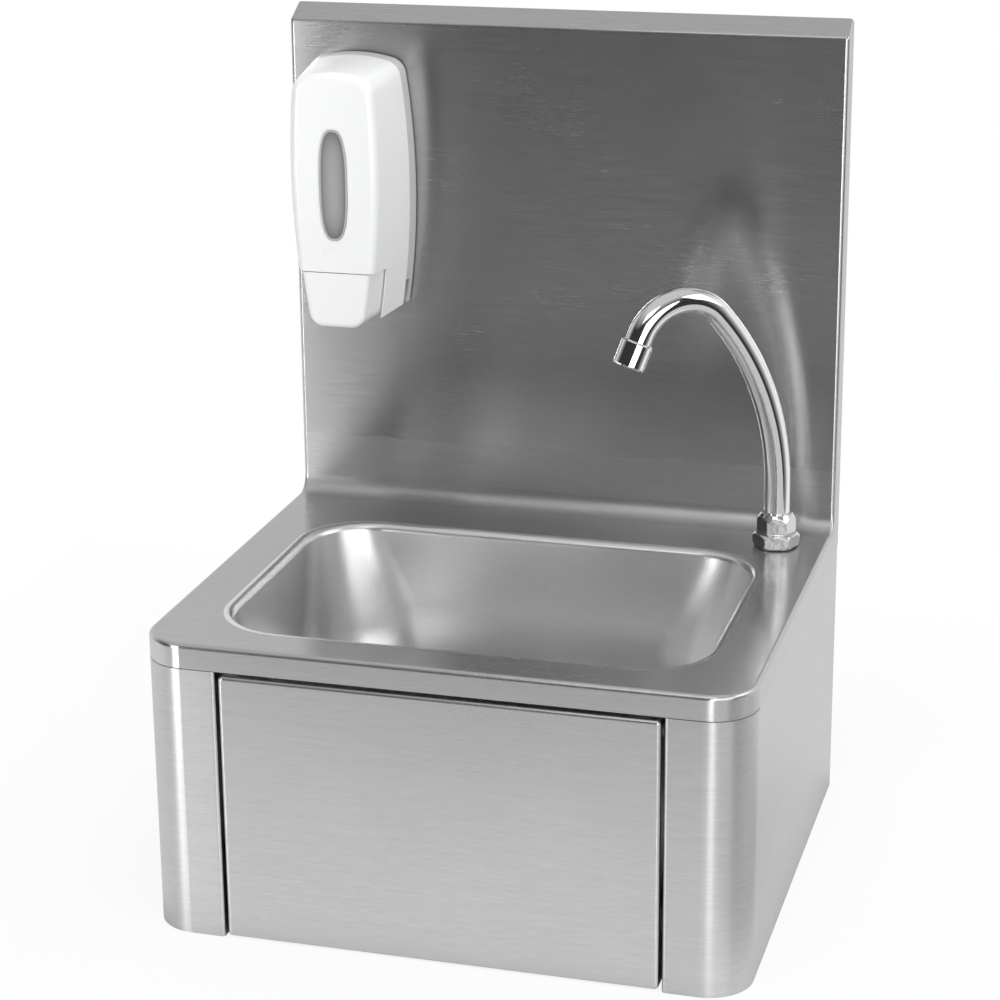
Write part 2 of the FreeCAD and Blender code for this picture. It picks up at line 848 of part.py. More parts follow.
def make_panel():
    """Knee panel: a folded tray with bush holes and two stop tabs behind the stiles."""
    body = new_body("panel_body")
    low = floor + S.panel_gap_bottom
    high = apron_low - S.panel_gap_top
    skin = S.sheet_thickness
    face = outline(
        sketch_on(body, "XZ_Plane", S.sink_depth), rectangle(-half_panel, low, half_panel, high)
    )
    feature = pad(body, face, S.panel_depth, True)
    feature = fillet(
        body,
        feature,
        S.panel_corner_radius,
        lambda e: near(e.BoundBox.YLength, S.panel_depth) and e.BoundBox.XLength < float(skin),
    )
    feature = fillet(body, feature, S.fold_radius, lambda e: lies_at(e, "Y", front))
    back = front + S.panel_depth
    shell(body, feature, skin, lambda f: lies_at(f, "Y", back))
    stop_front = front + S.stile_return + S.stop_clearance
    tab_low = low + S.stop_rise
    web = box(
        "stop_web",
        (half_panel - skin, back - skin, tab_low),
        (half_panel, stop_front + skin, tab_low + S.stop_height),
    )
    tab = box(
        "stop_tab",
        (half_panel - skin, stop_front, tab_low),
        (half_panel - skin + S.stop_reach, stop_front + skin, tab_low + S.stop_height),
    )
    both = [web, tab, mirrored("stop_web_left", web), mirrored("stop_tab_left", tab)]
    whole = join("panel_whole", [body] + both)
    hole = cylinder(
        "bush_holes",
        (-half_width, front + S.pivot_setback, deck - S.pivot_drop),
        "+X",
        S.bush_radius,
        S.sink_width,
    )
    piece(less("panel_cut", whole, [hole]), "knee_panel")

    pin_start = half_panel - skin - S.pin_inset
    shank = half_opening + skin - pin_start
    pivot = (front + S.pivot_setback, deck - S.pivot_drop)
    pin = turned(
        "pin_right",
        (pin_start, pivot[0], pivot[1]),
        "+X",
        [
            (0, 0),
            (S.pin_radius, 0),
            (S.pin_radius, shank),
            (S.pin_head_radius, shank),
            (S.pin_head_radius, shank + S.pin_head_thickness),
            (0, shank + S.pin_head_thickness),
        ],
    )
    piece(grouped("pins", [pin, mirrored("pin_left", pin)]), "pivot_pins")
    bush_start = half_panel - skin - S.bush_inset
    sleeve = skin + S.bush_inset
    flange = sleeve + S.panel_gap_side - S.bush_end_clearance
    bore = S.pin_radius + S.pivot_clearance
    bush = turned(
        "bush_right",
        (bush_start, pivot[0], pivot[1]),
        "+X",
        [
            (bore, 0),
            (S.bush_radius, 0),
            (S.bush_radius, sleeve),
            (S.bush_flange_radius, sleeve),
            (S.bush_flange_radius, flange),
            (bore, flange),
        ],
    )
    piece(grouped("bushes", [bush, mirrored("bush_left", bush)]), "pivot_bushes")
    pad_at = floor + S.valve_rise - S.pad_height / 2
    rubber = box(
        "pad_block",
        (valve_x - S.pad_width / 2, front + skin, pad_at),
        (valve_x + S.pad_width / 2, front + skin + S.pad_thickness, pad_at + S.pad_height),
    )
    piece(rubber, "panel_pad")


def coil(label, radius, wire, turns, length, at, axis):
    """A compression spring as one unbroken tube on biarcs of a quarter turn."""
    radius, wire, turns, length = float(radius), float(wire), float(turns), float(length)
    rise = (length - 2 * wire) / turns
    steps = int(round(turns * SPRING_STEPS_PER_TURN))
    points = []
    tangents = []
    for step in range(steps + 1):
        angle = 2 * math.pi * step / SPRING_STEPS_PER_TURN
        points.append(
            FreeCAD.Vector(
                radius * math.cos(angle),
                radius * math.sin(angle),
                wire + rise * step / SPRING_STEPS_PER_TURN,
            )
        )
        tangent = FreeCAD.Vector(
            -radius * math.sin(angle), radius * math.cos(angle), rise / (2 * math.pi)
        )
        tangents.append(tangent.normalize())
    edges = []
    for step in range(steps):
        span = points[step + 1] - points[step]
        total = tangents[step] + tangents[step + 1]
        spread = 2 * (1 - tangents[step].dot(tangents[step + 1]))
        reach = span.dot(total)
        handle = (-reach + math.sqrt(reach * reach + spread * span.dot(span))) / spread
        joint = (points[step] + points[step + 1] + (tangents[step] - tangents[step + 1]) * handle) * 0.5
        edges.append(arc_edge(points[step], tangents[step], joint))
        second_way = points[step + 1] - tangents[step + 1] * handle - joint
        edges.append(arc_edge(joint, second_way, points[step + 1]))
    spine = Part.Wire(edges)
    section = Part.Wire([Part.makeCircle(wire, points[0], tangents[0])])
    tube = spine.makePipeShell([section], True, False)
    print(label, "least gap to itself", round(least_gap(edges, radius, wire), 2))
    thing = formed(label, tube)
    return place(thing, at, axis)


def least_gap(edges, radius, wire):
    """The least clear distance between points of a wound tube that are over half a turn apart."""
    points = []
    for edge in edges:
        points.extend(edge.discretize(Number=SPRING_SAMPLES_PER_ARC)[:-1])
    walked = [0.0]
    for first, second in zip(points, points[1:]):
        walked.append(walked[-1] + (second - first).Length)
    least = None
    for i, first in enumerate(points):
        for j in range(i + 1, len(points)):
            if walked[j] - walked[i] < math.pi * radius:
                continue
            gap = (points[j] - first).Length - 2 * wire
            if least is None or gap < least:
                least = gap
    return least


def arc_edge(begin, tangent, finish):
    """An arc that leaves a point along a tangent and ends at another point."""
    chord = finish - begin
    way = FreeCAD.Vector(tangent).normalize()
    along = chord.dot(way)
    across = chord - way * along
    if across.Length < chord.Length * 1e-9:
        return Part.LineSegment(begin, finish).toShape()
    angle = math.atan2(across.Length, along)
    bulge = (chord * 0.5).Length * math.tan(angle / 2)
    side = (way - chord * (along / chord.dot(chord))).normalize()
    middle = (begin + finish) * 0.5 + side * bulge
    return Part.Arc(begin, middle, finish).toShape()


def make_valve():
    """Self-closing mixer valve on the rail, with its tee, inlets and hose."""
    x = valve_x
    z = floor + S.valve_rise
    rail_back = front + S.rail_setback + S.rail_sheet
    nose_front = front + S.rail_setback - S.nose_reach
    nose = rail_back - nose_front
    barrel = nose + S.valve_length
    end = barrel + S.spigot_length
    bore = S.plunger_radius + S.plunger_clearance
    core = turned(
        "valve_core",
        (x, nose_front, z),
        "+Y",
        [
            (bore, 0),
            (S.nose_radius, 0),
            (S.nose_radius, nose),
            (S.valve_radius, nose),
            (S.valve_radius, barrel),
            (S.spigot_radius, barrel),
            (S.spigot_radius, end),
            (0, end),
            (0, S.plunger_bore),
            (bore, S.plunger_bore),
        ],
    )
    outlet_y = rail_back + S.outlet_setback
    stub = less(
        "outlet_stub",
        cylinder(
            "outlet_outer", (x, outlet_y, z), "+X", S.outlet_radius, S.valve_radius + S.outlet_reach
        ),
        [cylinder("outlet_clear", (x, outlet_y, z), "+X", S.outlet_radius * 2, S.plunger_radius * 2)],
    )
    piece(join("valve_whole", [core, stub]), "valve_body")

    nut = less(
        "locknut_cut",
        hexagon(
            "locknut_hex",
            (x, front + S.rail_setback - S.locknut_thickness, z),
            "+Y",
            S.locknut_flats,
            S.locknut_thickness,
        ),
        [cylinder("locknut_hole", (x, nose_front, z), "+Y", S.nose_radius, S.nose_reach * 2)],
    )
    piece(nut, "valve_locknut")

    head_front = front + S.sheet_thickness + S.pad_thickness + S.plunger_gap
    neck = S.plunger_head_thickness
    gap = nose_front - head_front - neck
    tail = neck + gap + S.plunger_tail
    plunger = turned(
        "plunger_turn",
        (x, head_front, z),
        "+Y",
        [
            (0, 0),
            (S.plunger_head_radius / 5, 0),
            (S.plunger_head_radius, S.plunger_crown),
            (S.plunger_head_radius, neck),
            (S.plunger_radius, neck),
            (S.plunger_radius, tail),
            (0, tail),
        ],
    )
    piece(plunger, "valve_plunger")
    spring = coil(
        "valve_spring",
        S.valve_spring_radius,
        S.valve_spring_wire,
        S.valve_spring_turns,
        gap - S.spring_seat_gap * 2,
        (x, head_front + neck + S.spring_seat_gap, z),
        "+Y",
    )
    piece(spring, "valve_spring")

    spigot_end = nose_front + end
    union_start = spigot_end - S.spigot_length
    union = less(
        "union_cut",
        hexagon("union_hex", (x, union_start, z), "+Y", S.union_flats, S.union_length),
        [cylinder("union_hole", (x, union_start, z), "+Y", S.spigot_radius, S.union_length)],
    )
    piece(union, "union_nut")
    tee_y = spigot_end + S.tee_setback
    tee_half = x - S.waste_body_radius - S.tee_clearance
    inlet_half = tee_half - S.inlet_end_margin
    run = cylinder("tee_run", (x - tee_half, tee_y, z), "+X", S.tee_radius, tee_half * 2)
    entry = cylinder("tee_entry", (x, spigot_end, z), "+Y", S.spigot_radius, S.tee_setback)
    bosses = []
    for sign in (-1, 1):
        bosses.append(
            cylinder(
                "tee_boss",
                (x + inlet_half * sign, tee_y, z),
                "-Z",
                S.inlet_boss_radius,
                S.inlet_boss_drop,
            )
        )
    piece(join("tee_whole", [run, entry] + bosses), "mixing_tee")
    for sign, label in ((-1, "cold_inlet"), (1, "hot_inlet")):
        at = (x + inlet_half * sign, tee_y, z - S.inlet_boss_drop)
        hex_part = hexagon(label + "_hex", at, "-Z", S.inlet_flats, S.inlet_hex_height)
        length = S.inlet_hex_height + S.inlet_thread_length
        thread = cylinder(label + "_thread", at, "-Z", S.inlet_thread_radius, length)
        bottom = (at[0], at[1], at[2] - length)
        bore_tool = cylinder(label + "_bore", bottom, "+Z", S.inlet_bore_radius, S.inlet_thread_length)
        piece(less(label + "_cut", join(label + "_solid", [hex_part, thread]), [bore_tool]), label)

    stub_end = x + S.valve_radius + S.outlet_reach
    make_hose(stub_end, outlet_y, z)


def make_hose(stub_end, outlet_y, z):
    """Hose from the valve's outlet round and up to the spout's shank, and its two end nuts."""
    shank_low = deck + S.spout_seal_thickness - S.shank_length
    x0, y0, z0 = float(stub_end), float(outlet_y), float(z)
    x1, y1, z1 = float(tap_x), float(tap_y), float(shank_low)
    bend, sweep = x1 - x0 - float(S.hose_start_run), float(S.hose_sweep)
    slant = math.sqrt(0.5)
    start = FreeCAD.Vector(x0, y0, z0)
    first = FreeCAD.Vector(x1 - bend, y0, z0)
    first_mid = FreeCAD.Vector(x1 - bend + bend * slant, y0 + bend - bend * slant, z0)
    second = FreeCAD.Vector(x1, y0 + bend, z0)
    third = FreeCAD.Vector(x1, y1 - sweep, z0)
    third_mid = FreeCAD.Vector(x1, y1 - sweep + sweep * slant, z0 + sweep - sweep * slant)
    fourth = FreeCAD.Vector(x1, y1, z0 + sweep)
    finish = FreeCAD.Vector(x1, y1, z1)
    spine = Part.Wire(
        [
            Part.LineSegment(start, first).toShape(),
            Part.Arc(first, first_mid, second).toShape(),
            Part.LineSegment(second, third).toShape(),
            Part.Arc(third, third_mid, fourth).toShape(),
            Part.LineSegment(fourth, finish).toShape(),
        ]
    )
    section = Part.Wire([Part.makeCircle(float(S.hose_radius), start, FreeCAD.Vector(1, 0, 0))])
    tube = spine.makePipeShell([section], True, False)
    swept = math.pi * float(S.hose_radius) ** 2 * spine.Length
    print("hose volume over section times length", round(tube.Volume / swept, 4))
    piece(formed("feed_hose", tube), "feed_hose")
    for label, at, axis, stub in (
        ("hose_nut_valve", (stub_end, outlet_y, z), "+X", S.outlet_radius),
        ("hose_nut_spout", (tap_x, tap_y, shank_low), "-Z", S.shank_radius),
    ):
        lap = S.hose_nut_length / 2
        if axis == "+X":
            low_at = (at[0] - lap, at[1], at[2])
        else:
            low_at = (at[0], at[1], at[2] + lap)
        solid = join(
            label + "_solid",
            [
                hexagon(label + "_hex", low_at, axis, S.hose_nut_flats, S.hose_nut_length),
                cylinder(
                    label + "_ferrule",
                    low_at,
                    axis,
                    S.hose_ferrule_radius,
                    S.hose_nut_length + S.hose_ferrule_length,
                ),
            ],
        )
        tools = [
            cylinder(label + "_stub", low_at, axis, stub, lap),
            cylinder(label + "_pass", low_at, axis, S.hose_radius, S.hose_nut_length * 4),
        ]
        piece(less(label + "_cut", solid, tools), label)


def make_spout():
    """Deck fitting, union collar, swan-neck tube and its mouthpiece."""
    x = tap_x
    y = tap_y
    seat = deck + S.spout_seal_thickness
    seal = turned(
        "seal_turn",
        (x, y, deck),
        "+Z",
        rectangle(S.shank_radius, 0, S.spout_seal_radius, S.spout_seal_thickness),
    )
    piece(seal, "spout_seal")

    corner = S.base_corner_radius
    blank = hexagon(
        "base_blank", (x, y, seat), "+Z", corner * math.sqrt(3), S.base_hex_height, NUT_TURN_DEGREES
    )
    trim = turned(
        "base_trim",
        (x, y, seat),
        "+Z",
        [
            (0, 0),
            (corner - S.base_chamfer / 2, 0),
            (corner, S.base_chamfer),
            (corner, S.base_hex_height - S.base_chamfer),
            (corner - S.base_chamfer, S.base_hex_height),
            (0, S.base_hex_height),
        ],
    )
    shank = cylinder("base_shank", (x, y, seat), "-Z", S.shank_radius, S.shank_length)
    solid = join("base_solid", [shared("base_hex", blank, trim), shank])
    socket = S.tube_radius + S.tube_clearance
    tools = [
        cylinder("base_bore", (x, y, seat - S.shank_length * 2), "+Z", S.shank_bore, S.shank_length * 3),
        cylinder(
            "base_socket",
            (x, y, seat + S.base_hex_height - S.tube_socket - S.tube_clearance),
            "+Z",
            socket,
            S.base_hex_height,
        ),
    ]
    piece(less("base_cut", solid, tools), "spout_base")

    under = deck - S.sheet_thickness
    washer = turned(
        "washer_turn",
        (x, y, under),
        "-Z",
        rectangle(S.shank_radius, 0, S.deck_washer_radius, S.deck_washer_thickness),
    )
    piece(washer, "deck_washer")
    nut_top = under - S.deck_washer_thickness
    nut = less(
        "deck_nut_cut",
        hexagon("deck_nut_hex", (x, y, nut_top), "-Z", S.deck_nut_flats, S.deck_nut_thickness),
        [cylinder("deck_nut_hole", (x, y, nut_top), "-Z", S.shank_radius, S.deck_nut_thickness)],
    )
    piece(nut, "deck_nut")

    collar_low = seat + S.base_hex_height
    ring_out = socket + S.o_ring_section * 2 + S.tube_clearance
    collar_high = S.collar_straight + S.collar_dome
    collar_blank = hexagon(
        "collar_blank",
        (x, y, collar_low),
        "+Z",
        S.collar_radius * math.sqrt(3),
        collar_high,
        NUT_TURN_DEGREES,
    )
    collar_trim = turned(
        "collar_trim",
        (x, y, collar_low),
        "+Z",
        [
            (0, 0),
            (S.collar_radius - S.collar_foot_chamfer, 0),
            (S.collar_radius, S.collar_foot_chamfer),
            (S.collar_radius, S.collar_straight),
            (S.collar_top_radius, collar_high),
            (0, collar_high),
        ],
    )
    collar = less(
        "collar_cut",
        shared("collar_hex", collar_blank, collar_trim),
        [
            cylinder("collar_bore", (x, y, collar_low), "+Z", socket, collar_high),
            cylinder("collar_cavity", (x, y, collar_low), "+Z", ring_out, S.collar_cavity_height),
        ],
    )
    piece(collar, "collar_nut")
    o_ring = doc.addObject("Part::Torus", "o_ring_torus")
    bind(o_ring, "Radius1", socket + S.o_ring_section)
    bind(o_ring, "Radius2", S.o_ring_section)
    place(o_ring, (x, y, collar_low + S.collar_cavity_height / 2))
    piece(o_ring, "spout_o_ring")

    make_neck(x, y, collar_low - S.tube_socket)


def make_neck(x, y, low):
    """Swan neck on a straight run and two tangent arcs, in its own plane, then headed."""
    start = float(low) - float(deck)
    rise = float(S.neck_rise)
    long_radius, long_angle = float(S.neck_long_radius), math.radians(float(S.neck_long_angle))
    bend_radius, bend_angle = float(S.neck_bend_radius), math.radians(float(S.neck_bend_angle))

    def long_at(angle):
        """A point of the long arc."""
        return FreeCAD.Vector(long_radius * (1 - math.cos(angle)), 0, rise + long_radius * math.sin(angle))

    knee = long_at(long_angle)
    outward = FreeCAD.Vector(math.cos(long_angle), 0, -math.sin(long_angle))
    centre = knee + outward * bend_radius

    def bend_at(angle):
        """A point of the tight arc."""
        total = long_angle + angle
        return centre + FreeCAD.Vector(-math.cos(total), 0, math.sin(total)) * bend_radius

    last = long_angle + bend_angle
    down = FreeCAD.Vector(math.sin(last), 0, math.cos(last))
    tip = bend_at(bend_angle)
    foot = FreeCAD.Vector(0, 0, start)
    ground = FreeCAD.Vector(0, 0, rise)
    spine = Part.Wire(
        [
            Part.LineSegment(foot, ground).toShape(),
            Part.Arc(ground, long_at(long_angle / 2), knee).toShape(),
            Part.Arc(knee, bend_at(bend_angle / 2), tip).toShape(),
            Part.LineSegment(tip, tip + down * float(S.neck_end)).toShape(),
        ]
    )
    path = doc.addObject("Part::Feature", "neck_path")
    path.Shape = spine
    solids = []
    for name, radius in (("neck_outer", S.tube_radius), ("neck_inner", S.tube_radius - S.tube_wall)):
        circle = doc.addObject("Part::Circle", name + "_circle")
        bind(circle, "Radius", radius)
        bind(circle, "Placement.Base.z", low - deck)
        sweep = doc.addObject("Part::Sweep", name)
        sweep.Sections = [circle]
        sweep.Spine = (path, [])
        sweep.Solid = True
        solids.append(sweep)
    tube = less("neck_cut", solids[0], [solids[1]])
    heading = FreeCAD.Rotation(FreeCAD.Vector(0, 0, 1), float(S.spout_heading))
    base = FreeCAD.Vector(float(x), float(y), float(deck))
    tube.Placement = FreeCAD.Placement(base, heading)
    piece(tube, "spout_tube")

    tilt = FreeCAD.Rotation(FreeCAD.Vector(0, 0, 1), down)
    fit = S.tube_radius
    socket = S.neck_end - S.aerator_start
    length = S.aerator_length
    shell_body = turned(
        "aerator_turn",
        (0, 0, 0),
        "+Z",
        [
            (fit, 0),
            (S.aerator_radius - S.aerator_rim, 0),
            (S.aerator_radius, S.aerator_rim),
            (S.aerator_radius, length - S.aerator_rim),
            (S.aerator_radius - S.aerator_rim / 2, length),
            (S.aerator_mouth_radius - S.aerator_rim, length),
            (S.aerator_mouth_radius - S.aerator_rim, length - S.aerator_rim),
            (S.aerator_mouth_radius, length - S.aerator_rim),
            (S.aerator_mouth_radius, socket),
            (fit, socket),
        ],
    )
    insert = turned(
        "insert_turn",
        (0, 0, 0),
        "+Z",
        rectangle(
            0,
            length - S.aerator_rim - S.insert_thickness,
            S.aerator_mouth_radius,
            length - S.aerator_rim,
        ),
    )
    mouth = tip + down * float(S.aerator_start)
    for thing, label in ((shell_body, "aerator_shell"), (insert, "aerator_insert")):
        for name in "xyz":
            thing.setExpression("Placement.Base." + name, None)
        thing.Placement = FreeCAD.Placement(base, heading) * FreeCAD.Placement(mouth, tilt)
        piece(thing, label)


def make_waste():
    """Strainer waste: gasket, strainer, screw, seal and threaded body."""
    y = bowl_middle
    seat = bowl_low - S.seat_recess
    under = seat - S.sheet_thickness
    inner = S.drain_hole_radius
    gasket = turned(
        "gasket_turn",
        (0, y, seat),
        "+Z",
        rectangle(inner, 0, S.waste_flange_radius - S.waste_gasket_thickness, S.waste_gasket_thickness),
    )
    piece(gasket, "waste_gasket")

    flange_low = S.waste_gasket_thickness
    flange_high = flange_low + S.waste_flange_thickness
    cup = S.waste_cup_radius
    wall = S.waste_cup_wall
    plate_high = flange_high - S.waste_cup_depth
    plate_low = plate_high - wall
    dish = turned(
        "strainer_turn",
        (0, y, seat),
        "+Z",
        [
            (S.waste_screw_radius, plate_low),
            (cup, plate_low),
            (cup, flange_low),
            (S.waste_flange_radius, flange_low),
            (S.waste_flange_radius, flange_high - wall / 2),
            (S.waste_flange_radius - wall, flange_high),
            (cup - wall, flange_high),
            (cup - wall, plate_high),
            (S.waste_screw_radius, plate_high),
        ],
    )
    holes = []
    for index in range(GRID_HOLES):
        angle = 2 * math.pi * index / GRID_HOLES
        holes.append(
            cylinder(
                "grid_hole",
                (
                    S.grid_ring_radius * math.cos(angle),
                    y + S.grid_ring_radius * math.sin(angle),
                    seat + plate_low - wall,
                ),
                "+Z",
                S.grid_hole_radius,
                wall * 3,
            )
        )
    piece(less("strainer_cut", dish, holes), "waste_strainer")

    screw = turned(
        "waste_screw_turn",
        (0, y, seat + plate_high),
        "-Z",
        [
            (0, -S.waste_screw_head_thickness),
            (S.waste_screw_head_radius - S.waste_screw_head_thickness / 2, -S.waste_screw_head_thickness),
            (S.waste_screw_head_radius, -S.waste_screw_head_thickness / 3),
            (S.waste_screw_head_radius, 0),
            (S.waste_screw_radius, 0),
            (S.waste_screw_radius, S.waste_screw_length),
            (0, S.waste_screw_length),
        ],
    )
    piece(screw, "waste_screw")

    seal = turned(
        "waste_seal_turn",
        (0, y, under),
        "-Z",
        rectangle(inner, 0, S.waste_body_radius, S.waste_seal_thickness),
    )
    piece(seal, "waste_seal")

    rim_top = under - S.waste_seal_thickness
    rim = S.waste_body_rim
    cone = rim + S.waste_cone_height
    tail = cone + S.waste_thread_length
    thick = S.waste_thread_radius - S.waste_bore_radius
    cup_body = turned(
        "waste_body_turn",
        (0, y, rim_top),
        "-Z",
        [
            (S.waste_body_radius - thick * 2, 0),
            (S.waste_body_radius, 0),
            (S.waste_body_radius, rim),
            (S.waste_thread_radius, cone),
            (S.waste_thread_radius, tail),
            (S.waste_bore_radius, tail),
            (S.waste_bore_radius, cone),
            (S.waste_body_radius - thick * 2, rim),
        ],
    )
    hub_top = rim_top - cone
    span = S.waste_bore_radius + thick / 2
    half_rib = S.waste_rib / 2
    rib_low = hub_top - S.waste_cone_height
    hub = cylinder("waste_hub", (0, y, hub_top), "-Z", S.waste_hub_radius, S.waste_cone_height)
    rib_across = box("waste_rib_across", (-span, y - half_rib, rib_low), (span, y + half_rib, hub_top))
    rib_along = box("waste_rib_along", (-half_rib, y - span, rib_low), (half_rib, y + span, hub_top))
    thread = cylinder(
        "waste_hub_hole", (0, y, rib_low - half_rib), "+Z", S.waste_screw_radius, S.waste_cone_height * 2
    )
    solid = join("waste_body_solid", [cup_body, hub, rib_across, rib_along])
    piece(less("waste_body_cut", solid, [thread]), "waste_body")


def soap_outline(depth, low, middle, top, low_z, high_z, shoulder):
    """A barrel-sided outline at one depth: foot, two bowed sides and a bowed top."""
    y = -depth
    span = high_z - shoulder - low_z
    belly_share = 0.5
    rise = low_z + span * belly_share
    left_foot = FreeCAD.Vector(-low, y, low_z)
    right_foot = FreeCAD.Vector(low, y, low_z)
    right_belly = FreeCAD.Vector(middle, y, rise)
    left_belly = FreeCAD.Vector(-middle, y, rise)
    right_top = FreeCAD.Vector(top, y, high_z - shoulder)
    left_top = FreeCAD.Vector(-top, y, high_z - shoulder)
    crown = FreeCAD.Vector(0, y, high_z)
    return Part.Wire(
        [
            Part.LineSegment(left_foot, right_foot).toShape(),
            Part.Arc(right_foot, right_belly, right_top).toShape(),
            Part.Arc(right_top, crown, left_top).toShape(),
            Part.Arc(left_top, left_belly, left_foot).toShape(),
        ]
    )


def soap_form(side, face, foot, roof, back=0, round_foot=False):
    """The dispenser's outer form, drawn in on its sides, face, foot and roof, its foot square or round."""
    depth = float(S.soap_depth)
    rear = [float(S.soap_rear_low), float(S.soap_rear_middle), float(S.soap_rear_top)]
    fore = [float(S.soap_front_low_half), float(S.soap_front_middle), float(S.soap_front_top)]
    rear_z = [float(S.soap_low), float(S.soap_high)]
    fore_z = [float(S.soap_front_low), float(S.soap_front_high)]
    shoulder = float(S.soap_shoulder_drop)

    def at(where):
        """Half-widths and heights of the form at one depth."""
        share = where / depth
        halves = [a + (b - a) * share - side for a, b in zip(rear, fore)]
        heights = [a + (b - a) * share for a, b in zip(rear_z, fore_z)]
        return halves + [heights[0] + foot, heights[1] - roof]

    wires = []
    for where in (-back, depth - face):
        low, middle, top, low_z, high_z = at(where)
        wires.append(soap_outline(where, low, middle, top, low_z, high_z, shoulder))
    solid = Part.makeLoft(wires, True, True)
    corner = max(float(S.soap_corner_radius) - side, side)
    edge = max(float(S.soap_edge_radius) - side, float(S.soap_wall))
    end = -(depth - face)
    ridges = []
    for item in solid.Edges:
        extent = item.BoundBox
        upper = extent.ZMax > (rear_z[0] + rear_z[1]) / 2
        if extent.YLength > depth / 2 and (upper or round_foot):
            ridges.append(item)
    solid = solid.makeFillet(corner, ridges)
    rims = []
    for item in solid.Edges:
        extent = item.BoundBox
        at_face = near(extent.YMin, end) and near(extent.YMax, end)
        foot_edge = extent.ZLength < 1e-3 and extent.ZMax < (rear_z[0] + rear_z[1]) / 2
        if at_face and (round_foot or not foot_edge):
            rims.append(item)
    return solid.makeFillet(edge, rims)


def soap_block(low, high):
    """A box in the dispenser's own frame."""
    size = [b - a for a, b in zip(low, high)]
    return Part.makeBox(size[0], size[1], size[2], FreeCAD.Vector(*low))


def soap_rod(x0, x1, depth, z, radius):
    """A cylinder across the dispenser, from one x to another."""
    return Part.makeCylinder(radius, x1 - x0, FreeCAD.Vector(x0, -depth, z), FreeCAD.Vector(1, 0, 0))


def soap_oval(half_width_now, half_height_now, z, depth, length):
    """A blunt oval prism, upright or lying, from one depth forward."""
    points = []
    for step in range(OVAL_STEPS):
        turn = 2 * math.pi * step / OVAL_STEPS
        across, along = math.cos(turn), math.sin(turn)
        blunt_x = math.copysign(abs(across) ** OVAL_BLUNT_SHARE, across) * half_width_now
        blunt_z = math.copysign(abs(along) ** OVAL_BLUNT_SHARE, along) * half_height_now
        points.append(FreeCAD.Vector(blunt_x, -depth, z + blunt_z))
    curve = Part.BSplineCurve()
    curve.interpolate(points, PeriodicFlag=True)
    face = Part.Face(Part.Wire([curve.toShape()]))
    return face.extrude(FreeCAD.Vector(0, -length, 0))


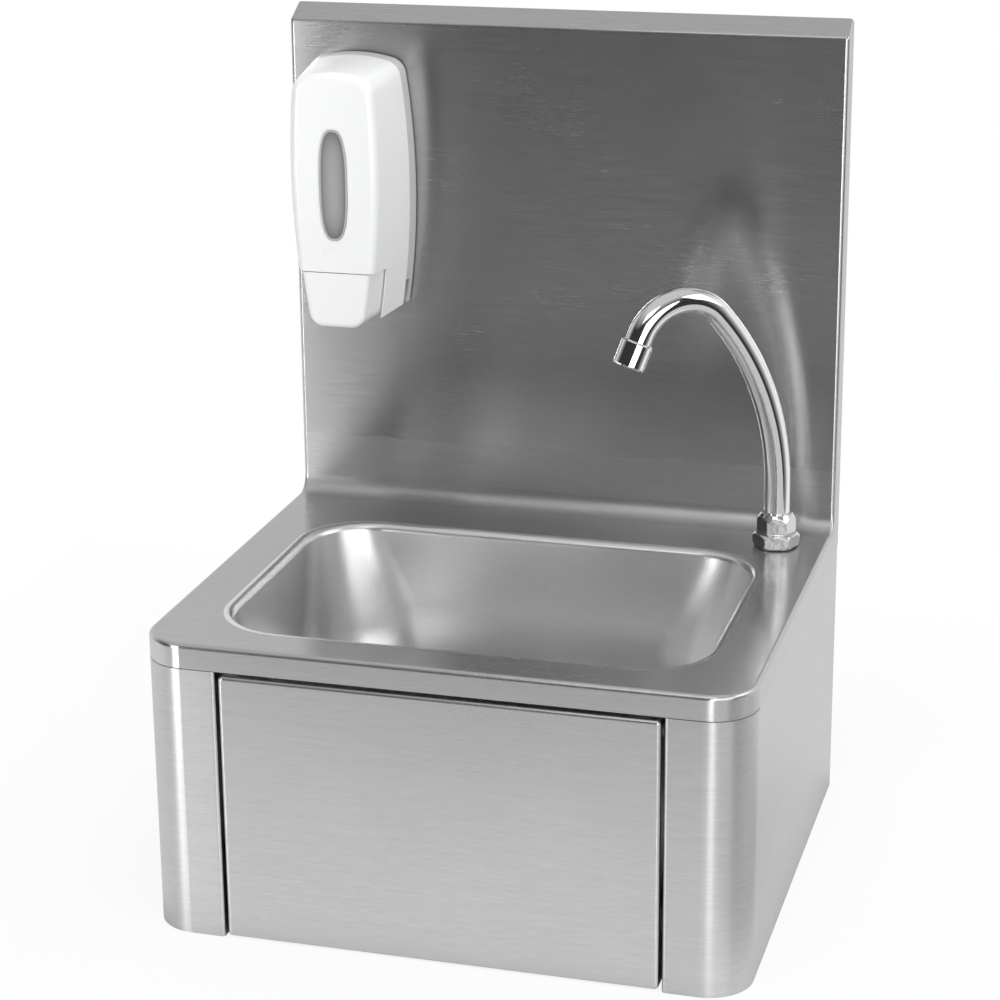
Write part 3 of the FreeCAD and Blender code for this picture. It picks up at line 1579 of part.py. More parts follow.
def make_soap():
    """Soap dispenser: tray, hinged cover, window, lever, bottle and pump."""
    v = SimpleNamespace(**{name: float(sheet.get(name)) for name in SIZES})
    far = v.soap_depth * 2
    tall = v.soap_high * 2
    base = (soap_x, upstand, soap_datum)

    def keep(label, shape):
        """List a formed piece at the dispenser's place."""
        thing = place(formed(label, shape), base)
        return piece(thing, label)

    outer = soap_form(0, 0, 0, 0)
    inner = soap_form(v.soap_wall, v.soap_wall, -v.soap_wall * 4, v.soap_wall, v.soap_wall)
    axis_z = v.soap_low + v.cover_axis_rise
    lever_z = v.lever_seam + v.lever_axis_rise

    slice_box = soap_block((-far, -v.tray_depth, 0), (far, 0, tall))
    tray = outer.common(slice_box)
    hollow = inner.cut(soap_block((-far, -v.tray_floor, 0), (far, far, tall)))
    tray = tray.cut(hollow)
    relief_z = v.soap_low + v.tray_relief_rise
    tray = tray.cut(soap_block((-far, -far, 0), (far, -v.tray_relief_depth, relief_z)))
    ears = []
    for x0 in (v.ear_inner, -v.ear_inner - v.ear_thickness):
        ear_front = -v.cover_axis_depth - v.cover_pin_radius * 2
        ear_low = axis_z - v.cover_pin_radius * 2
        ears.append(
            soap_block(
                (x0, ear_front, ear_low),
                (x0 + v.ear_thickness, -v.tray_floor / 2, ear_low + v.ear_height),
            )
        )
    tray = tray.fuse(ears)
    for x0, x1 in ((v.cover_pin_inner, v.cover_pin_outer), (-v.cover_pin_outer, -v.cover_pin_inner)):
        tray = tray.cut(soap_rod(x0, x1, v.cover_axis_depth, axis_z, v.cover_pin_radius))
    for z in (v.screw_low, v.screw_high):
        way = FreeCAD.Vector(0, 1, 0)
        at = FreeCAD.Vector(0, -v.tray_depth, z)
        tray = tray.cut(Part.makeCylinder(v.screw_radius, v.tray_depth * 2, at, way))
    keep("dispenser_base", tray)

    cover = outer.cut(soap_block((-far, -v.tray_depth - v.cover_gap, 0), (far, far, tall))).cut(inner)
    notch = soap_block((-far, -far, 0), (far, -v.lever_side_depth, v.lever_seam))
    cover = cover.cut(notch)
    middle = v.window_middle
    face = v.soap_depth
    hole = soap_oval(v.window_half_width, v.window_half_height, middle, face - v.soap_wall * 2, far)
    step = soap_oval(
        v.window_half_width + v.window_step,
        v.window_half_height + v.window_step,
        middle,
        face - v.window_step_depth,
        far,
    )
    badge = soap_oval(v.badge_half_width, v.badge_half_height, v.badge_middle, face - v.badge_depth, far)
    cover = cover.cut(hole).cut(step).cut(badge)
    slack = v.soap_pin_clearance
    for x0, x1 in ((v.cover_pin_inner, v.cover_pin_outer), (-v.cover_pin_outer, -v.cover_pin_inner)):
        spare = v.cover_gap / 2
        cover = cover.cut(
            soap_rod(x0 - spare, x1 + spare, v.cover_axis_depth, axis_z, v.cover_pin_radius + slack)
        )
    for x0, x1 in ((v.lever_pin_inner, v.lever_pin_outer), (-v.lever_pin_outer, -v.lever_pin_inner)):
        spare = v.cover_gap / 2
        cover = cover.cut(
            soap_rod(x0 - spare, x1 + spare, v.lever_axis_depth, lever_z, v.lever_pin_radius + slack)
        )
    keep("dispenser_cover", cover)
    pins = []
    for x0, x1 in ((v.cover_pin_inner, v.cover_pin_outer), (-v.cover_pin_outer, -v.cover_pin_inner)):
        pins.append(soap_rod(x0, x1, v.cover_axis_depth, axis_z, v.cover_pin_radius))
    keep("cover_pins", Part.makeCompound(pins))
    thick = v.soap_wall - v.window_step_depth / 2
    glass = soap_oval(v.window_half_width, v.window_half_height, middle, face - v.soap_wall, thick)
    keep("dispenser_window", glass)

    make_lever(v, keep, lever_z)
    make_pump(v, keep)

    screws = []
    for z in (v.screw_low, v.screw_high):
        at = FreeCAD.Vector(0, -v.tray_floor, z)
        shank = Part.makeCylinder(v.screw_radius, v.screw_length, at, FreeCAD.Vector(0, 1, 0))
        head = Part.makeCylinder(v.screw_head_radius, v.screw_head_thickness, at, FreeCAD.Vector(0, -1, 0))
        screws.append(shank.fuse(head))
    keep("dispenser_screws", Part.makeCompound(screws))


def make_lever(v, keep, lever_z):
    """Push lever, nested between the cover's cheeks, slotted for the nozzle, with ears for its two pins."""
    far = v.soap_depth * 2
    block = soap_form(v.lever_inset, 0, -v.lever_drop, 0, 0, True)
    skin = v.lever_wall
    core = soap_form(v.lever_inset + skin, skin, skin - v.lever_drop, -skin * 2, skin, True)
    seam = v.lever_seam - v.lever_seam_gap
    main = soap_block((-far, -far, 0), (far, -v.lever_rear_depth, seam))
    ear_y = -v.lever_axis_depth
    ears = soap_block(
        (-far, ear_y - v.lever_ear_half, seam - skin * 4),
        (far, ear_y + v.lever_ear_half, v.lever_seam + v.lever_ear_rise),
    )
    lever = block.cut(core).common(main.fuse(ears))
    slot_half = v.pump_nozzle_radius + v.lever_slot_clearance
    slot_front = v.pump_neck_depth + v.pump_nozzle_radius + v.lever_slot_run
    lever = lever.cut(soap_block((-slot_half, -slot_front, 0), (slot_half, 0, v.pump_rise)))
    pins = []
    for x0, x1 in ((v.lever_pin_inner, v.lever_pin_outer), (-v.lever_pin_outer, -v.lever_pin_inner)):
        pins.append(soap_rod(x0, x1, v.lever_axis_depth, lever_z, v.lever_pin_radius))
        lever = lever.cut(pins[-1])
    keep("dispenser_lever", lever)
    keep("lever_pins", Part.makeCompound(pins))


def make_pump(v, keep):
    """Bottle, cap and pump with its piston and spring."""
    far = v.soap_depth * 2
    body = soap_form(v.bottle_inset, v.bottle_inset, 0, 0, 0)
    room = soap_block((-far, -far, v.bottle_low), (far, -v.bottle_rear, v.bottle_high))
    bottle = body.common(room)
    keep("soap_bottle", bottle.makeFillet(v.bottle_round / 2, [
        e for e in bottle.Edges if near(e.BoundBox.ZMin, v.bottle_high) or near(e.BoundBox.ZMax, v.bottle_low)
    ]))
    up = FreeCAD.Vector(0, 0, 1)
    cap_at = FreeCAD.Vector(0, -v.cap_depth, v.bottle_high)
    keep("bottle_cap", Part.makeCylinder(v.cap_radius, v.cap_height, cap_at, up))

    forward = FreeCAD.Vector(0, -1, 0)
    barrel_at = FreeCAD.Vector(0, -v.pump_rear, v.pump_rise)
    barrel = Part.makeCylinder(v.pump_radius, v.pump_front - v.pump_rear, barrel_at, forward)
    neck_at = FreeCAD.Vector(0, -v.pump_neck_depth, v.pump_rise)
    neck = Part.makeCylinder(v.pump_neck_radius, v.bottle_low - v.pump_rise, neck_at, up)
    nozzle = Part.makeCylinder(v.pump_nozzle_radius, v.pump_nozzle_drop, neck_at, -up)
    stem = soap_block(
        (-v.pump_stem_half, -v.pump_rear - v.tray_floor, v.pump_rise - v.pump_stem_half),
        (v.pump_stem_half, -v.tray_floor, v.pump_rise + v.pump_stem_half),
    )
    pump = barrel.fuse([neck, nozzle, stem])
    bore_at = FreeCAD.Vector(0, -v.pump_front, v.pump_rise)
    pump = pump.cut(
        Part.makeCylinder(v.piston_radius + v.piston_clearance, v.piston_bore, bore_at, -forward)
    )
    keep("pump_body", pump.removeSplitter())

    tip = v.soap_depth - v.lever_wall - v.piston_gap
    neck_y = tip - v.piston_head_thickness
    crown = v.piston_crown
    tail = v.pump_front - v.piston_tail
    corners = [
        (0, tip),
        (v.piston_head_radius / 5, tip),
        (v.piston_head_radius, tip - crown),
        (v.piston_head_radius, neck_y),
        (v.piston_radius, neck_y),
        (v.piston_radius, tail),
        (0, tail),
    ]
    points = [FreeCAD.Vector(r, -depth, v.pump_rise) for r, depth in corners]
    profile = Part.Face(Part.makePolygon(points + [points[0]]))
    centre = FreeCAD.Vector(0, 0, v.pump_rise)
    keep("pump_piston", profile.revolve(centre, FreeCAD.Vector(0, 1, 0), 360))
    gap = neck_y - v.pump_front
    spring = coil(
        "pump_spring",
        S.pump_spring_radius,
        S.pump_spring_wire,
        S.pump_spring_turns,
        gap - 2 * v.spring_seat_gap,
        (soap_x, upstand - S.pump_front - S.spring_seat_gap, soap_datum + S.pump_rise),
        "-Y",
    )
    piece(spring, "pump_spring")


make_deck()
make_bowl()
make_sides()
make_rail()
make_panel()
make_valve()
make_spout()
make_waste()
make_soap()
doc.recompute()

for thing in doc.Objects:
    if "Invalid" in thing.State or "Error" in thing.State:
        raise ValueError("%s did not build: %s" % (thing.Label, thing.State))
os.makedirs("parts", exist_ok=True)
for thing in pieces:
    if thing.Shape.isNull() or not thing.Shape.isValid():
        raise ValueError("%s has no valid shape" % thing.Label)
    thing.Shape.exportStep("parts/%s.step" % thing.Label)
    print(thing.Label, len(thing.Shape.Solids), round(thing.Shape.Volume / 1000, 2))
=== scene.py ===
import math

import bpy
from mathutils import Matrix, Vector


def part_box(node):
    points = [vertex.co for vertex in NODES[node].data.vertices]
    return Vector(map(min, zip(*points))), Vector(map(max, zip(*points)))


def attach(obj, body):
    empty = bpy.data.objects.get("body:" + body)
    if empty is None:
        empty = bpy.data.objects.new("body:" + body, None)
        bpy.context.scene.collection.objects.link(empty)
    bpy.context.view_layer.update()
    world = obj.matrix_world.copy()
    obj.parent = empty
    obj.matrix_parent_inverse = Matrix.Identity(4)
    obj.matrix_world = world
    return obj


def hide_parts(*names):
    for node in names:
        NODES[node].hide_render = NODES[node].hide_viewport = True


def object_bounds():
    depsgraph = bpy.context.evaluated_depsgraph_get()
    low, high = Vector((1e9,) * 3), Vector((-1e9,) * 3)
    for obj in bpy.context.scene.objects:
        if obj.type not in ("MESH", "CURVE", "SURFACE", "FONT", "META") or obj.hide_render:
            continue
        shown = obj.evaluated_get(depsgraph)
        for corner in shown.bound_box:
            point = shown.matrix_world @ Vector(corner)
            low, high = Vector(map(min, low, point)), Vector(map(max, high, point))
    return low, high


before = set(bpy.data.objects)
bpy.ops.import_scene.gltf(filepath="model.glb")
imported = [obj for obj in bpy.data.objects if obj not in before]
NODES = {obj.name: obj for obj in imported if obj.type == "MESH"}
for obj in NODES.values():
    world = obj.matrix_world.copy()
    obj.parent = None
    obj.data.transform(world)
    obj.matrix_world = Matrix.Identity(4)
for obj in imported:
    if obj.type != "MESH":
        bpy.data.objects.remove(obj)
CAD_BOX = [list(corner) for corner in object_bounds()]
scene = bpy.context.scene
scene.view_settings.view_transform = "Standard"


def middle(name):
    """The middle of a node's box."""
    low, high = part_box(name)
    return (low + high) / 2.0


def foot(name):
    """The middle of the underside of a node's box."""
    place = middle(name)
    place.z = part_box(name)[0].z
    return place


# Directions, and places that come from the frame, in metres. The object faces -Y.
UP = Vector((0.0, 0.0, 1.0))
FRONT = Vector((0.0, -1.0, 0.0))
HALF_WIDTH = CAD_BOX[1][0]
HALF_DEPTH = -CAD_BOX[0][1] / 2.0
FLOOR_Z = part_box("casing_right")[0].z
DECK_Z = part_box("bowl")[1].z
WALL_FACE_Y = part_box("dispenser_base")[1].y

# Camera, as fitted to the photograph.
TARGET = Vector((0.0, -0.150, 0.178))
AZIMUTH = math.radians(15.55)
ELEVATION = math.radians(17.65)
ROLL = math.radians(-0.41)
DISTANCE = 1.7917
CLIP_END = 50.0
SENSOR_MM = 36.0
FOCAL_PX = 2645.45
IMAGE_PX = 1000.0
PRINCIPAL_PX = (513.94, 462.63)


def make_camera():
    """The photograph's view."""
    back = Vector(
        (
            math.sin(AZIMUTH) * math.cos(ELEVATION),
            -math.cos(AZIMUTH) * math.cos(ELEVATION),
            math.sin(ELEVATION),
        )
    )
    right = Vector((math.cos(AZIMUTH), math.sin(AZIMUTH), 0.0))
    turn = Matrix((right, back.cross(right), back)).transposed().to_4x4()
    data = bpy.data.cameras.new("camera")
    data.sensor_width = SENSOR_MM
    data.lens = FOCAL_PX / IMAGE_PX * SENSOR_MM
    data.shift_x = (IMAGE_PX / 2 - PRINCIPAL_PX[0]) / IMAGE_PX
    data.shift_y = (PRINCIPAL_PX[1] - IMAGE_PX / 2) / IMAGE_PX
    data.clip_end = CLIP_END
    camera = bpy.data.objects.new("camera", data)
    camera.matrix_world = (
        Matrix.Translation(TARGET + back * DISTANCE) @ turn @ Matrix.Rotation(ROLL, 4, "Z")
    )
    scene.collection.objects.link(camera)
    scene.camera = camera


# Noise mostly fills this part of its range.
NOISE_SPAN = (0.25, 0.75)
# Numbers of the colour sockets on a Mix node.
MIX_A = 6
MIX_B = 7
MIX_RESULT = 2


def rgba(tone):
    """A grey or a colour in the form that a socket takes."""
    return (*tone, 1.0) if hasattr(tone, "__len__") else (tone, tone, tone, 1.0)


def even(waves):
    """The same number of waves per metre along each axis."""
    return (waves, waves, waves)


class Nodes:
    """A node tree, and short calls that add nodes to it."""

    def __init__(self, tree):
        self.tree = tree

    def node(self, kind, ins=None, **settings):
        """A new node: properties by name, and inputs by name or number in `ins`."""
        made = self.tree.nodes.new("ShaderNode" + kind)
        for key, value in settings.items():
            setattr(made, key, value)
        for key, value in (ins or {}).items():
            if isinstance(value, bpy.types.NodeSocket):
                self.link(value, made.inputs[key])
            else:
                made.inputs[key].default_value = value
        return made

    def link(self, source, target):
        self.tree.links.new(source, target)

    def axes(self, space="Object"):
        """Coordinates, one socket for each axis."""
        coords = self.node("TexCoord").outputs[space]
        return self.node("SeparateXYZ", ins={"Vector": coords}).outputs

    def maths(self, operation, first, second=0.0):
        return self.node("Math", ins={0: first, 1: second}, operation=operation).outputs["Value"]

    def add(self, first, second):
        return self.maths("ADD", first, second)

    def less(self, first, second):
        return self.maths("SUBTRACT", first, second)

    def times(self, first, second):
        return self.maths("MULTIPLY", first, second)

    def square(self, source):
        return self.maths("POWER", source, 2.0)

    def spread(self, source, low, high, span=NOISE_SPAN):
        """A factor stretched so that a span of it runs from low to high."""
        ins = {"Value": source, "From Min": span[0], "From Max": span[1], "To Min": low, "To Max": high}
        return self.node("MapRange", ins=ins).outputs["Result"]

    def ramp(self, factor, stops):
        """A colour that runs through tones, each at its own place along a factor."""
        made = self.node("ValToRGB", ins={"Fac": factor})
        elements = made.color_ramp.elements
        elements[0].position = stops[0][0]
        elements[-1].position = stops[-1][0]
        for place, _ in stops[1:-1]:
            elements.new(place)
        for element, (_, tone) in zip(elements, stops):
            element.color = rgba(tone)
        return made.outputs["Color"]

    def mix(self, blend, first, second, factor=1.0):
        """Two colours mixed by a blend mode."""
        ins = {"Factor": factor, MIX_A: first, MIX_B: second}
        return self.node("Mix", ins=ins, data_type="RGBA", blend_type=blend).outputs[MIX_RESULT]


class Look(Nodes):
    """A node material: a shader with constants on its own sockets, and short calls that feed it."""

    def __init__(self, name, **constants):
        self.material = bpy.data.materials.new(name)
        self.material.use_nodes = True
        super().__init__(self.material.node_tree)
        self.shader = self.tree.nodes["Principled BSDF"]
        for key, value in constants.items():
            socket = self.shader.inputs[key.replace("_", " ")]
            socket.default_value = rgba(value) if socket.type == "RGBA" else value

    def feed(self, key, source):
        self.link(source, self.shader.inputs[key])

    def noise(self, waves, detail=2.0, roughness=0.5, distortion=0.0):
        """Noise with so many waves per metre along each axis, 0 to 1 about 0.5."""
        coords = self.node("TexCoord").outputs["Object"]
        mapping = self.node("Mapping", ins={"Vector": coords, "Scale": waves})
        ins = {
            "Vector": mapping.outputs["Vector"],
            "Scale": 1.0,
            "Detail": detail,
            "Roughness": roughness,
            "Distortion": distortion,
        }
        return self.node("TexNoise", ins=ins).outputs["Fac"]

    def colour(self, factor, low, high):
        """Feed a colour that runs between two tones."""
        self.feed("Base Color", self.ramp(factor, ((0.0, low), (1.0, high))))

    def roughen(self, source, rough, low, high):
        """Feed a roughness that strays from low to high about its value."""
        self.feed("Roughness", self.add(self.spread(source, low, high), rough))

    def bump(self, height, strength, distance):
        """Feed a bumped normal, and give back its node."""
        made = self.node("Bump", ins={"Height": height, "Strength": strength, "Distance": distance})
        self.feed("Normal", made.outputs["Normal"])
        return made


# Brushed sheet: grain in waves per metre, and a dressed seam above the cove.
SHEET_GRAIN = (90.0, 1700.0, 1700.0)
SIDE_GRAIN = (90.0, 90.0, 1700.0)
COARSE_GRAIN_SHARE = 0.21
FINE_WEIGHT_SHARE = 0.78
GRAIN_SPAN = (0.3, 0.7)
GRAIN_STRAY = 0.010
SHEET_SMUDGE = 9.0
SHEET_SMUDGE_STRAY = 0.015
SHEET_TINT = 0.85
SHEET_BUMP = (0.02, 0.0002)
SEAM_RISE = 0.044
SEAM_Z = DECK_Z + SEAM_RISE
SEAM_BLUR = 0.001
SEAM_WAVES = (30.0, 1.0, 1.0)
SEAM_WANDER = 0.0015
SEAM_FADE_REACH = (0.016, 0.008)
SEAM_FADE_SPAN = [WALL_FACE_Y - reach for reach in SEAM_FADE_REACH]
SEAM_TONE = 0.15
SEAM_ROUGH = 0.05


def brushed(name, grain, rub, rough=0.26, anisotropy=0.95, tones=(0.53, 0.63), dressed=False):
    """Stainless sheet with a fine grain along one way, and the dressed seam if asked."""
    look = Look(name, Metallic=1.0, Anisotropic=anisotropy, Specular_Tint=SHEET_TINT)
    fine = look.noise(grain, detail=3.0, roughness=0.65)
    coarse = look.noise([waves * COARSE_GRAIN_SHARE for waves in grain])
    smudge = look.noise(even(SHEET_SMUDGE), detail=3.0)
    streaks = look.add(look.times(fine, FINE_WEIGHT_SHARE), look.times(coarse, 1.0 - FINE_WEIGHT_SHARE))
    tone = look.spread(streaks, 0.0, 1.0, GRAIN_SPAN)
    stray = look.add(
        look.spread(streaks, -GRAIN_STRAY, GRAIN_STRAY, GRAIN_SPAN),
        look.spread(smudge, -SHEET_SMUDGE_STRAY, SHEET_SMUDGE_STRAY),
    )
    if dressed:
        _, out, up = look.axes()
        wander = look.spread(look.noise(SEAM_WAVES, detail=3.0), -SEAM_WANDER, SEAM_WANDER)
        below = look.spread(look.add(up, wander), 1.0, 0.0, (SEAM_Z - SEAM_BLUR, SEAM_Z + SEAM_BLUR))
        seam = look.times(below, look.spread(out, 0.0, 1.0, SEAM_FADE_SPAN))
        tone = look.add(tone, look.times(seam, SEAM_TONE))
        stray = look.add(stray, look.times(seam, SEAM_ROUGH))
    look.colour(tone, *tones)
    look.feed("Roughness", look.add(stray, rough))
    look.bump(streaks, *SHEET_BUMP)
    way = look.node("CombineXYZ", ins=dict(zip("XYZ", rub)))
    look.feed("Tangent", way.outputs["Vector"])
    return look.material


# Satin steel: grain and smudges in waves per metre.
SATIN_GRAIN = 700.0
SATIN_SMUDGE = 14.0
SATIN_SPAN = (0.35, 0.65)
SATIN_STRAY = (-0.03, 0.03)
SATIN_BUMP = (0.03, 0.0002)


def satin(name, tones, rough):
    """Pressed stainless with an even satin finish."""
    look = Look(name, Metallic=1.0)
    fine = look.noise(even(SATIN_GRAIN), detail=3.0)
    smudge = look.noise(even(SATIN_SMUDGE), detail=4.0)
    mean = look.times(look.add(fine, smudge), 0.5)
    look.colour(look.spread(mean, 0.0, 1.0, SATIN_SPAN), *tones)
    look.roughen(smudge, rough, *SATIN_STRAY)
    look.bump(fine, *SATIN_BUMP)
    return look.material


# Chrome plate: smears in waves per metre.
PLATE_SMEAR = (60.0, 60.0, 25.0)
PLATE_STRAY = (-0.015, 0.02)


def plated(name, tones, rough, waves, bump, rounded=0.0):
    """Chrome plate with faint smears and waves, its edges rounded by polishing if asked."""
    look = Look(name, Metallic=1.0)
    smear = look.noise(PLATE_SMEAR, detail=3.0, distortion=0.4)
    look.colour(smear, *tones)
    look.roughen(smear, rough, *PLATE_STRAY)
    skin = look.bump(look.noise(even(waves)), *bump)
    if rounded:
        look.link(look.node("Bevel", ins={"Radius": rounded}).outputs["Normal"], skin.inputs["Normal"])
    return look.material


# Plain metal: grain in waves per metre.
METAL_GRAIN = (900.0, 900.0, 135.0)
METAL_STRAY = (-0.06, 0.06)
METAL_BUMP = (0.08, 0.0003)


def metal(name, low, high, rough):
    """A plain metal with a worn, grained face."""
    look = Look(name, Metallic=1.0)
    grain = look.noise(METAL_GRAIN, detail=3.0)
    look.colour(grain, low, high)
    look.roughen(grain, rough, *METAL_STRAY)
    look.bump(grain, *METAL_BUMP)
    return look.material


# Plastic and rubber: skin and clouds in waves per metre.
PLASTIC_PEEL = 260.0
PLASTIC_CLOUD = 18.0
PLASTIC_STRAY = (-0.03, 0.03)
PLASTIC_SKIN = 0.0003


def moulded(name, low, high, rough, peel=PLASTIC_PEEL, depth=0.04):
    """Moulded plastic or rubber with a slight skin."""
    look = Look(name)
    skin = look.noise(even(peel))
    look.colour(look.noise(even(PLASTIC_CLOUD)), low, high)
    look.roughen(skin, rough, *PLASTIC_STRAY)
    look.bump(skin, depth, PLASTIC_SKIN)
    return look.material


# The dispenser's window: a blunt oval in the cover's front.
WINDOW_LOW, WINDOW_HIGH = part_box("dispenser_window")
WINDOW_HALF_WIDTH = (WINDOW_HIGH.x - WINDOW_LOW.x) / 2.0
WINDOW_HALF_HEIGHT = (WINDOW_HIGH.z - WINDOW_LOW.z) / 2.0
WINDOW_CENTRE = middle("dispenser_window")
WINDOW_FRONT_Y = WINDOW_LOW.y
# The span over which painted shade darkens the window toward its edge.
WINDOW_EDGE_SPAN = (0.0, 0.85)
WINDOW_CLOUD = (40.0, 40.0, 15.0)
WINDOW_CLOUD_STRAY = 0.08
WINDOW_BUMP = (0.01, 0.0003)


def smoky(name, low, high, rough):
    """The tinted window, with painted shade that darkens it toward its edge, where the moulding turns
    away.
    """
    look = Look(name, Roughness=rough)
    across, _, up = look.axes()
    wide = look.maths("DIVIDE", look.less(across, WINDOW_CENTRE.x), WINDOW_HALF_WIDTH)
    tall = look.maths("DIVIDE", look.less(up, WINDOW_CENTRE.z), WINDOW_HALF_HEIGHT)
    edge = look.add(look.square(wide), look.square(look.square(tall)))
    cloud = look.noise(WINDOW_CLOUD, detail=3.0)
    # Painted shade: lighter in the middle, darker toward the edge.
    painted_lit_middle = look.spread(edge, 1.0, 0.0, WINDOW_EDGE_SPAN)
    look.colour(look.add(painted_lit_middle, look.spread(cloud, -WINDOW_CLOUD_STRAY, WINDOW_CLOUD_STRAY)), low, high)
    look.bump(cloud, *WINDOW_BUMP)
    return look.material


# The dispenser's tray: the dark line along its back, a painted shadow where it meets the wall, and its
# skin.
TRAY_SHADOW_REACH = (0.0022, 0.0016)
TRAY_SHADOW_SPAN = [WALL_FACE_Y - reach for reach in TRAY_SHADOW_REACH]
TRAY_SHADOW_DEPTH = 0.9
TRAY_SKIN_TONES = (1.0, 0.96)
TRAY_SKIN_BUMP = 0.02


def tray(name, low, high, rough):
    """The dispenser's back tray: white plastic greyed by painted shade, with a painted shadow line at the
    wall.
    """
    look = Look(name)
    _, out, _ = look.axes()
    skin = look.noise(even(PLASTIC_PEEL))
    # Painted shadow: the tray darkens to near black within about two millimetres of the wall.
    painted_shadow = look.spread(out, 0.0, 1.0, TRAY_SHADOW_SPAN)
    look.colour(look.less(look.spread(skin, *TRAY_SKIN_TONES), look.times(painted_shadow, TRAY_SHADOW_DEPTH)), low, high)
    look.roughen(skin, rough, *PLASTIC_STRAY)
    look.bump(skin, TRAY_SKIN_BUMP, PLASTIC_SKIN)
    return look.material


# Every look, with its tones in linear light, and the look of each CAD node.
LOOKS = {
    "sheet_deck": brushed("brushed_deck", SHEET_GRAIN, rub=(0.02, 1.0, 1.0), dressed=True),
    "sheet_side": brushed("brushed_side", SIDE_GRAIN, rub=(0.02, 0.02, 1.0), rough=0.32, anisotropy=0.78),
    "sheet_panel": brushed("brushed_panel", SHEET_GRAIN, rub=(0.02, 0.3, 1.0), tones=(0.56, 0.66)),
    "bowl": satin("satin_bowl", tones=(0.74, 0.81), rough=0.31),
    "plain": metal("plain_steel", 0.46, 0.56, rough=0.34),
    "chrome": plated("chrome_plate", tones=(0.80, 0.86), rough=0.045, waves=350.0, bump=(0.01, 0.0001)),
    # Painted shade: the nut's chrome is toned darker than the tube's to tame the lamps' glare on its flat
    # faces.
    "nut": plated(
        "chrome_nut_shaded", tones=(0.60, 0.68), rough=0.04, waves=130.0, bump=(0.25, 0.001), rounded=0.0012
    ),
    "brass": metal("bright_brass", (0.60, 0.43, 0.17), (0.72, 0.54, 0.25), rough=0.28),
    "rubber": moulded("black_rubber", 0.018, 0.03, rough=0.62, peel=600.0, depth=0.15),
    "hose": metal("braided_hose", 0.42, 0.55, rough=0.32),
    "grey": moulded("grey_plastic", 0.30, 0.34, rough=0.42),
    "nylon": moulded("nylon", 0.045, 0.06, rough=0.42),
    "white": moulded("white_plastic", (0.86, 0.865, 0.87), (0.90, 0.905, 0.91), rough=0.22, depth=0.02),
    # Painted shade: the tray's grey tone and its dark line at the wall.
    "tray": tray("tray_plastic", 0.02, 0.56, rough=0.30),
    # Painted shade: the trim's grey stands in for the shade along the window's stepped edge.
    "bezel": moulded("bezel_painted_shade", 0.40, 0.44, rough=0.25, depth=0.01),
    # Painted shade: near-black steel that stands for the shade inside the screws' sunk crosses.
    "recess_shade": metal("painted_recess_shade", 0.05, 0.09, rough=0.5),
    "bottle": moulded("bottle_plastic", (0.70, 0.72, 0.74), (0.78, 0.80, 0.82), rough=0.30),
    "window": smoky("smoky_window", 0.17, 0.37, rough=0.14),
}
NODE_LOOKS = {
    "deck_backsplash": "sheet_deck",
    "bowl": "bowl",
    "casing_right": "sheet_side",
    "casing_left": "sheet_side",
    "valve_rail": "plain",
    "knee_panel": "sheet_panel",
    "pivot_pins": "plain",
    "pivot_bushes": "nylon",
    "panel_pad": "rubber",
    "valve_body": "brass",
    "valve_locknut": "brass",
    "valve_plunger": "plain",
    "valve_spring": "plain",
    "union_nut": "brass",
    "mixing_tee": "brass",
    "cold_inlet": "brass",
    "hot_inlet": "brass",
    "feed_hose": "hose",
    "hose_nut_valve": "chrome",
    "hose_nut_spout": "chrome",
    "spout_seal": "rubber",
    "spout_base": "nut",
    "deck_washer": "plain",
    "deck_nut": "brass",
    "collar_nut": "nut",
    "spout_o_ring": "rubber",
    "spout_tube": "chrome",
    "aerator_shell": "chrome",
    "aerator_insert": "grey",
    "waste_gasket": "rubber",
    "waste_strainer": "bowl",
    "waste_screw": "plain",
    "waste_seal": "rubber",
    "waste_body": "grey",
    "dispenser_base": "tray",
    "dispenser_cover": "white",
    "cover_pins": "plain",
    "dispenser_window": "window",
    "dispenser_lever": "white",
    "lever_pins": "plain",
    "soap_bottle": "bottle",
    "bottle_cap": "grey",
    "pump_body": "white",
    "pump_piston": "grey",
    "pump_spring": "plain",
    "dispenser_screws": "plain",
}
for node_name, look_name in NODE_LOOKS.items():
    for material_slot in NODES[node_name].material_slots:
        material_slot.material = LOOKS[look_name]


def add_piece(name, points, faces, look, body, smooth=True):
    """A mesh piece with one look, riding on a body."""
    mesh = bpy.data.meshes.new(name)
    mesh.from_pydata(points, [], faces)
    for polygon in mesh.polygons:
        polygon.use_smooth = smooth
    mesh.materials.append(LOOKS[look])
    piece = bpy.data.objects.new(name, mesh)
    scene.collection.objects.link(piece)
    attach(piece, body)
    return piece


# The feed hose: its route from the valve to the spout, and the sleeve woven round it.
HOSE_ROUTE = [
    (0.113, -0.2585, -0.062),
    (0.165, -0.2585, -0.062),
    (0.165, -0.1785, -0.062),
    (0.165, -0.059, -0.062),
    (0.165, -0.059, 0.055),
]
HOSE_RADIUS = 0.006
HOSE_WEAVE = 0.0005
HOSE_STRANDS = 12
HOSE_PITCH = 0.0031
HOSE_SIDES = 72
HOSE_STEP = 0.0007
HOSE_SPLINE_ORDER = 3
HOSE_SPLINE_STEPS = 60


